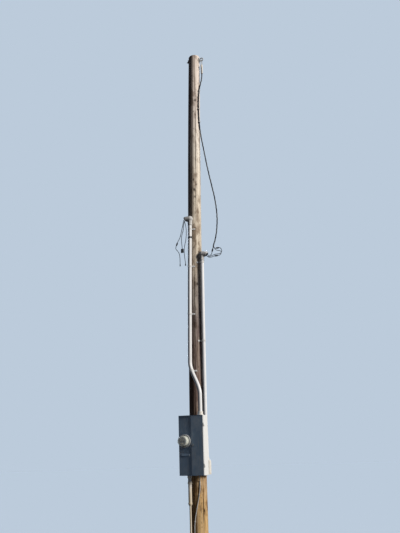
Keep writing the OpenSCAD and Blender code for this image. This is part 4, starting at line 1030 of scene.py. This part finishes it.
finished(joined("meter_dials", pale), "dial_plate")
marks = [numeral(c, x, 16) for c, x in zip("04718", WHEEL_X)]
marks += [plate("pointer", x, z + 2, 0.9, 6, 77, 77.5, 0.9, 12) for x, z in DIALS]
finished(joined("meter_numerals", marks), "moulding")
print("meter: drum %.0f mm across" % (2 * DRUM_R))

# %% [markdown]
# ## Screws and knockouts
#
# The case is a bought article: its walls have knockouts, discs half cut through so that a fitter can tap one out
# where a conduit is to enter, and its covers and the inner plate are held by pan-head screws. Each knockout shows
# as a fine ring, a small ridge turned round its middle.


# %% Screws and knockouts
def knockout(place, axis, sizes):
    """Fine ridges, one inside the other, round a place on a wall."""
    ridge = np.array([(-0.9, -0.3), (-0.4, 0.4), (0.4, 0.4), (0.9, -0.3)])
    return [skin("ridge", revolved(ridge + [r, 0], place, axis, 48), capped=False) for r in sizes]


LARGE, MIDDLING, SMALL = (24, 17, 11), (20, 14), (14, 9)
middle_y = (PANEL_FRONT + PANEL_BACK) / 2
spots = [(x, z, (way, 0, 0), sizes) for x, way in ((PANEL_RIGHT, 1), (PANEL_LEFT, -1))
         for z, sizes in ((PANEL_LOW + 70, LARGE), (PANEL_TOP - 75, MIDDLING))]
spots += [(x, PANEL_LOW, (0, 0, -1), sizes) for x, sizes in ((155, LARGE), (-105, SMALL))]
marks = [ridge for x, z, axis, sizes in spots for ridge in knockout((x, middle_y, z), axis, sizes)]
finished(joined("panel_knockouts", marks), "panel_enamel")
COVER_FACE, PLATE_FACE, SCREW_R = PANEL_FRONT - 2.3, PANEL_FRONT + 20, 4.5
screws = [screw((METER[0], COVER_FACE, z), OUT, SCREW_R) for z in (PANEL_LOW + 20, PANEL_TOP - 20)]
screws += [screw((x, PLATE_FACE, z), OUT, SCREW_R) for x in (50, 198) for z in (PANEL_LOW + 30, PANEL_TOP - 25)]
finished(joined("cover_screws", screws), "galvanised")
print("knockouts: %d, screws: %d" % (len(spots), len(screws)))

# %% [markdown]
# ## Rounded edges
#
# Sheet that has been folded and metal that has been cast have no knife edges: a thin line of light runs along
# each. A solid from the construction is loose triangles, so a copy is merged and its flat faces are made whole
# again. A Bevel modifier rounds what is left, and weighted normals keep the large faces shaded flat.

# %% Rounded edges
SOFT = [("panel_box", 0.8), ("panel_rear", 0.5), ("meter_cover", 0.7), ("test_cover", 0.7), ("breaker_door", 0.8),
        ("dead_front", 0.6), ("main_breaker", 1.5), ("branch_breakers", 1.2), ("door_latch", 1.0),
        ("meter_ring", 0.8), ("riser_a_hub", 1.2), ("drain_hub", 1.2), ("drain_coupling", 1.5),
        ("drain_collar", 1.0), ("conduit_body", 2.5), ("conduit_body_cover", 1.0),
        ("connectors_a", 1.2), ("connectors_b", 1.0), ("channels", 0.6), ("eye_bolt_nut", 0.8), ("lag_bolts", 0.8),
        ("riser_a_straps", 0.6), ("riser_b_straps", 0.6), ("riser_a_band", 0.8)]
CREASE_FROM, ROUNDED_FROM = np.radians([19, 30])


def softened(node, width_mm):
    """A copy of a solid with its edges rounded to about this width."""
    work = bmesh.new()
    work.from_mesh(NODES[node].data)
    bmesh.ops.remove_doubles(work, verts=work.verts, dist=1e-6)
    bmesh.ops.dissolve_limit(work, angle_limit=np.radians(0.5), verts=work.verts, edges=work.edges)
    for face in work.faces:
        face.smooth = True
    # a fold too shallow for the bevel stays a crease, or its flat faces would be shaded as if they were curved
    for edge in work.edges:
        edge.smooth = not CREASE_FROM < edge.calc_face_angle(0) < ROUNDED_FROM
    mesh = bpy.data.meshes.new(node + "_edged")
    work.to_mesh(mesh)
    work.free()
    made = placed(node + "_edged", mesh)
    bevel = made.modifiers.new("edges", "BEVEL")
    bevel.width, bevel.segments, bevel.limit_method = width_mm * MM, 2, "ANGLE"
    bevel.angle_limit = ROUNDED_FROM
    made.modifiers.new("flat_faces", "WEIGHTED_NORMAL").keep_sharp = True
    return made


for node, width in SOFT:
    body = "door" if node in ("breaker_door", "door_latch") else "frame"
    finished(softened(node, width), SLOTS[node], body, [node], LOOKS.get(node))
print("rounded:", len(SOFT))

# %% [markdown]
# ## End
#
# The last line sets the Standard view transform.

# %% End
bpy.context.scene.view_settings.view_transform = "Standard"
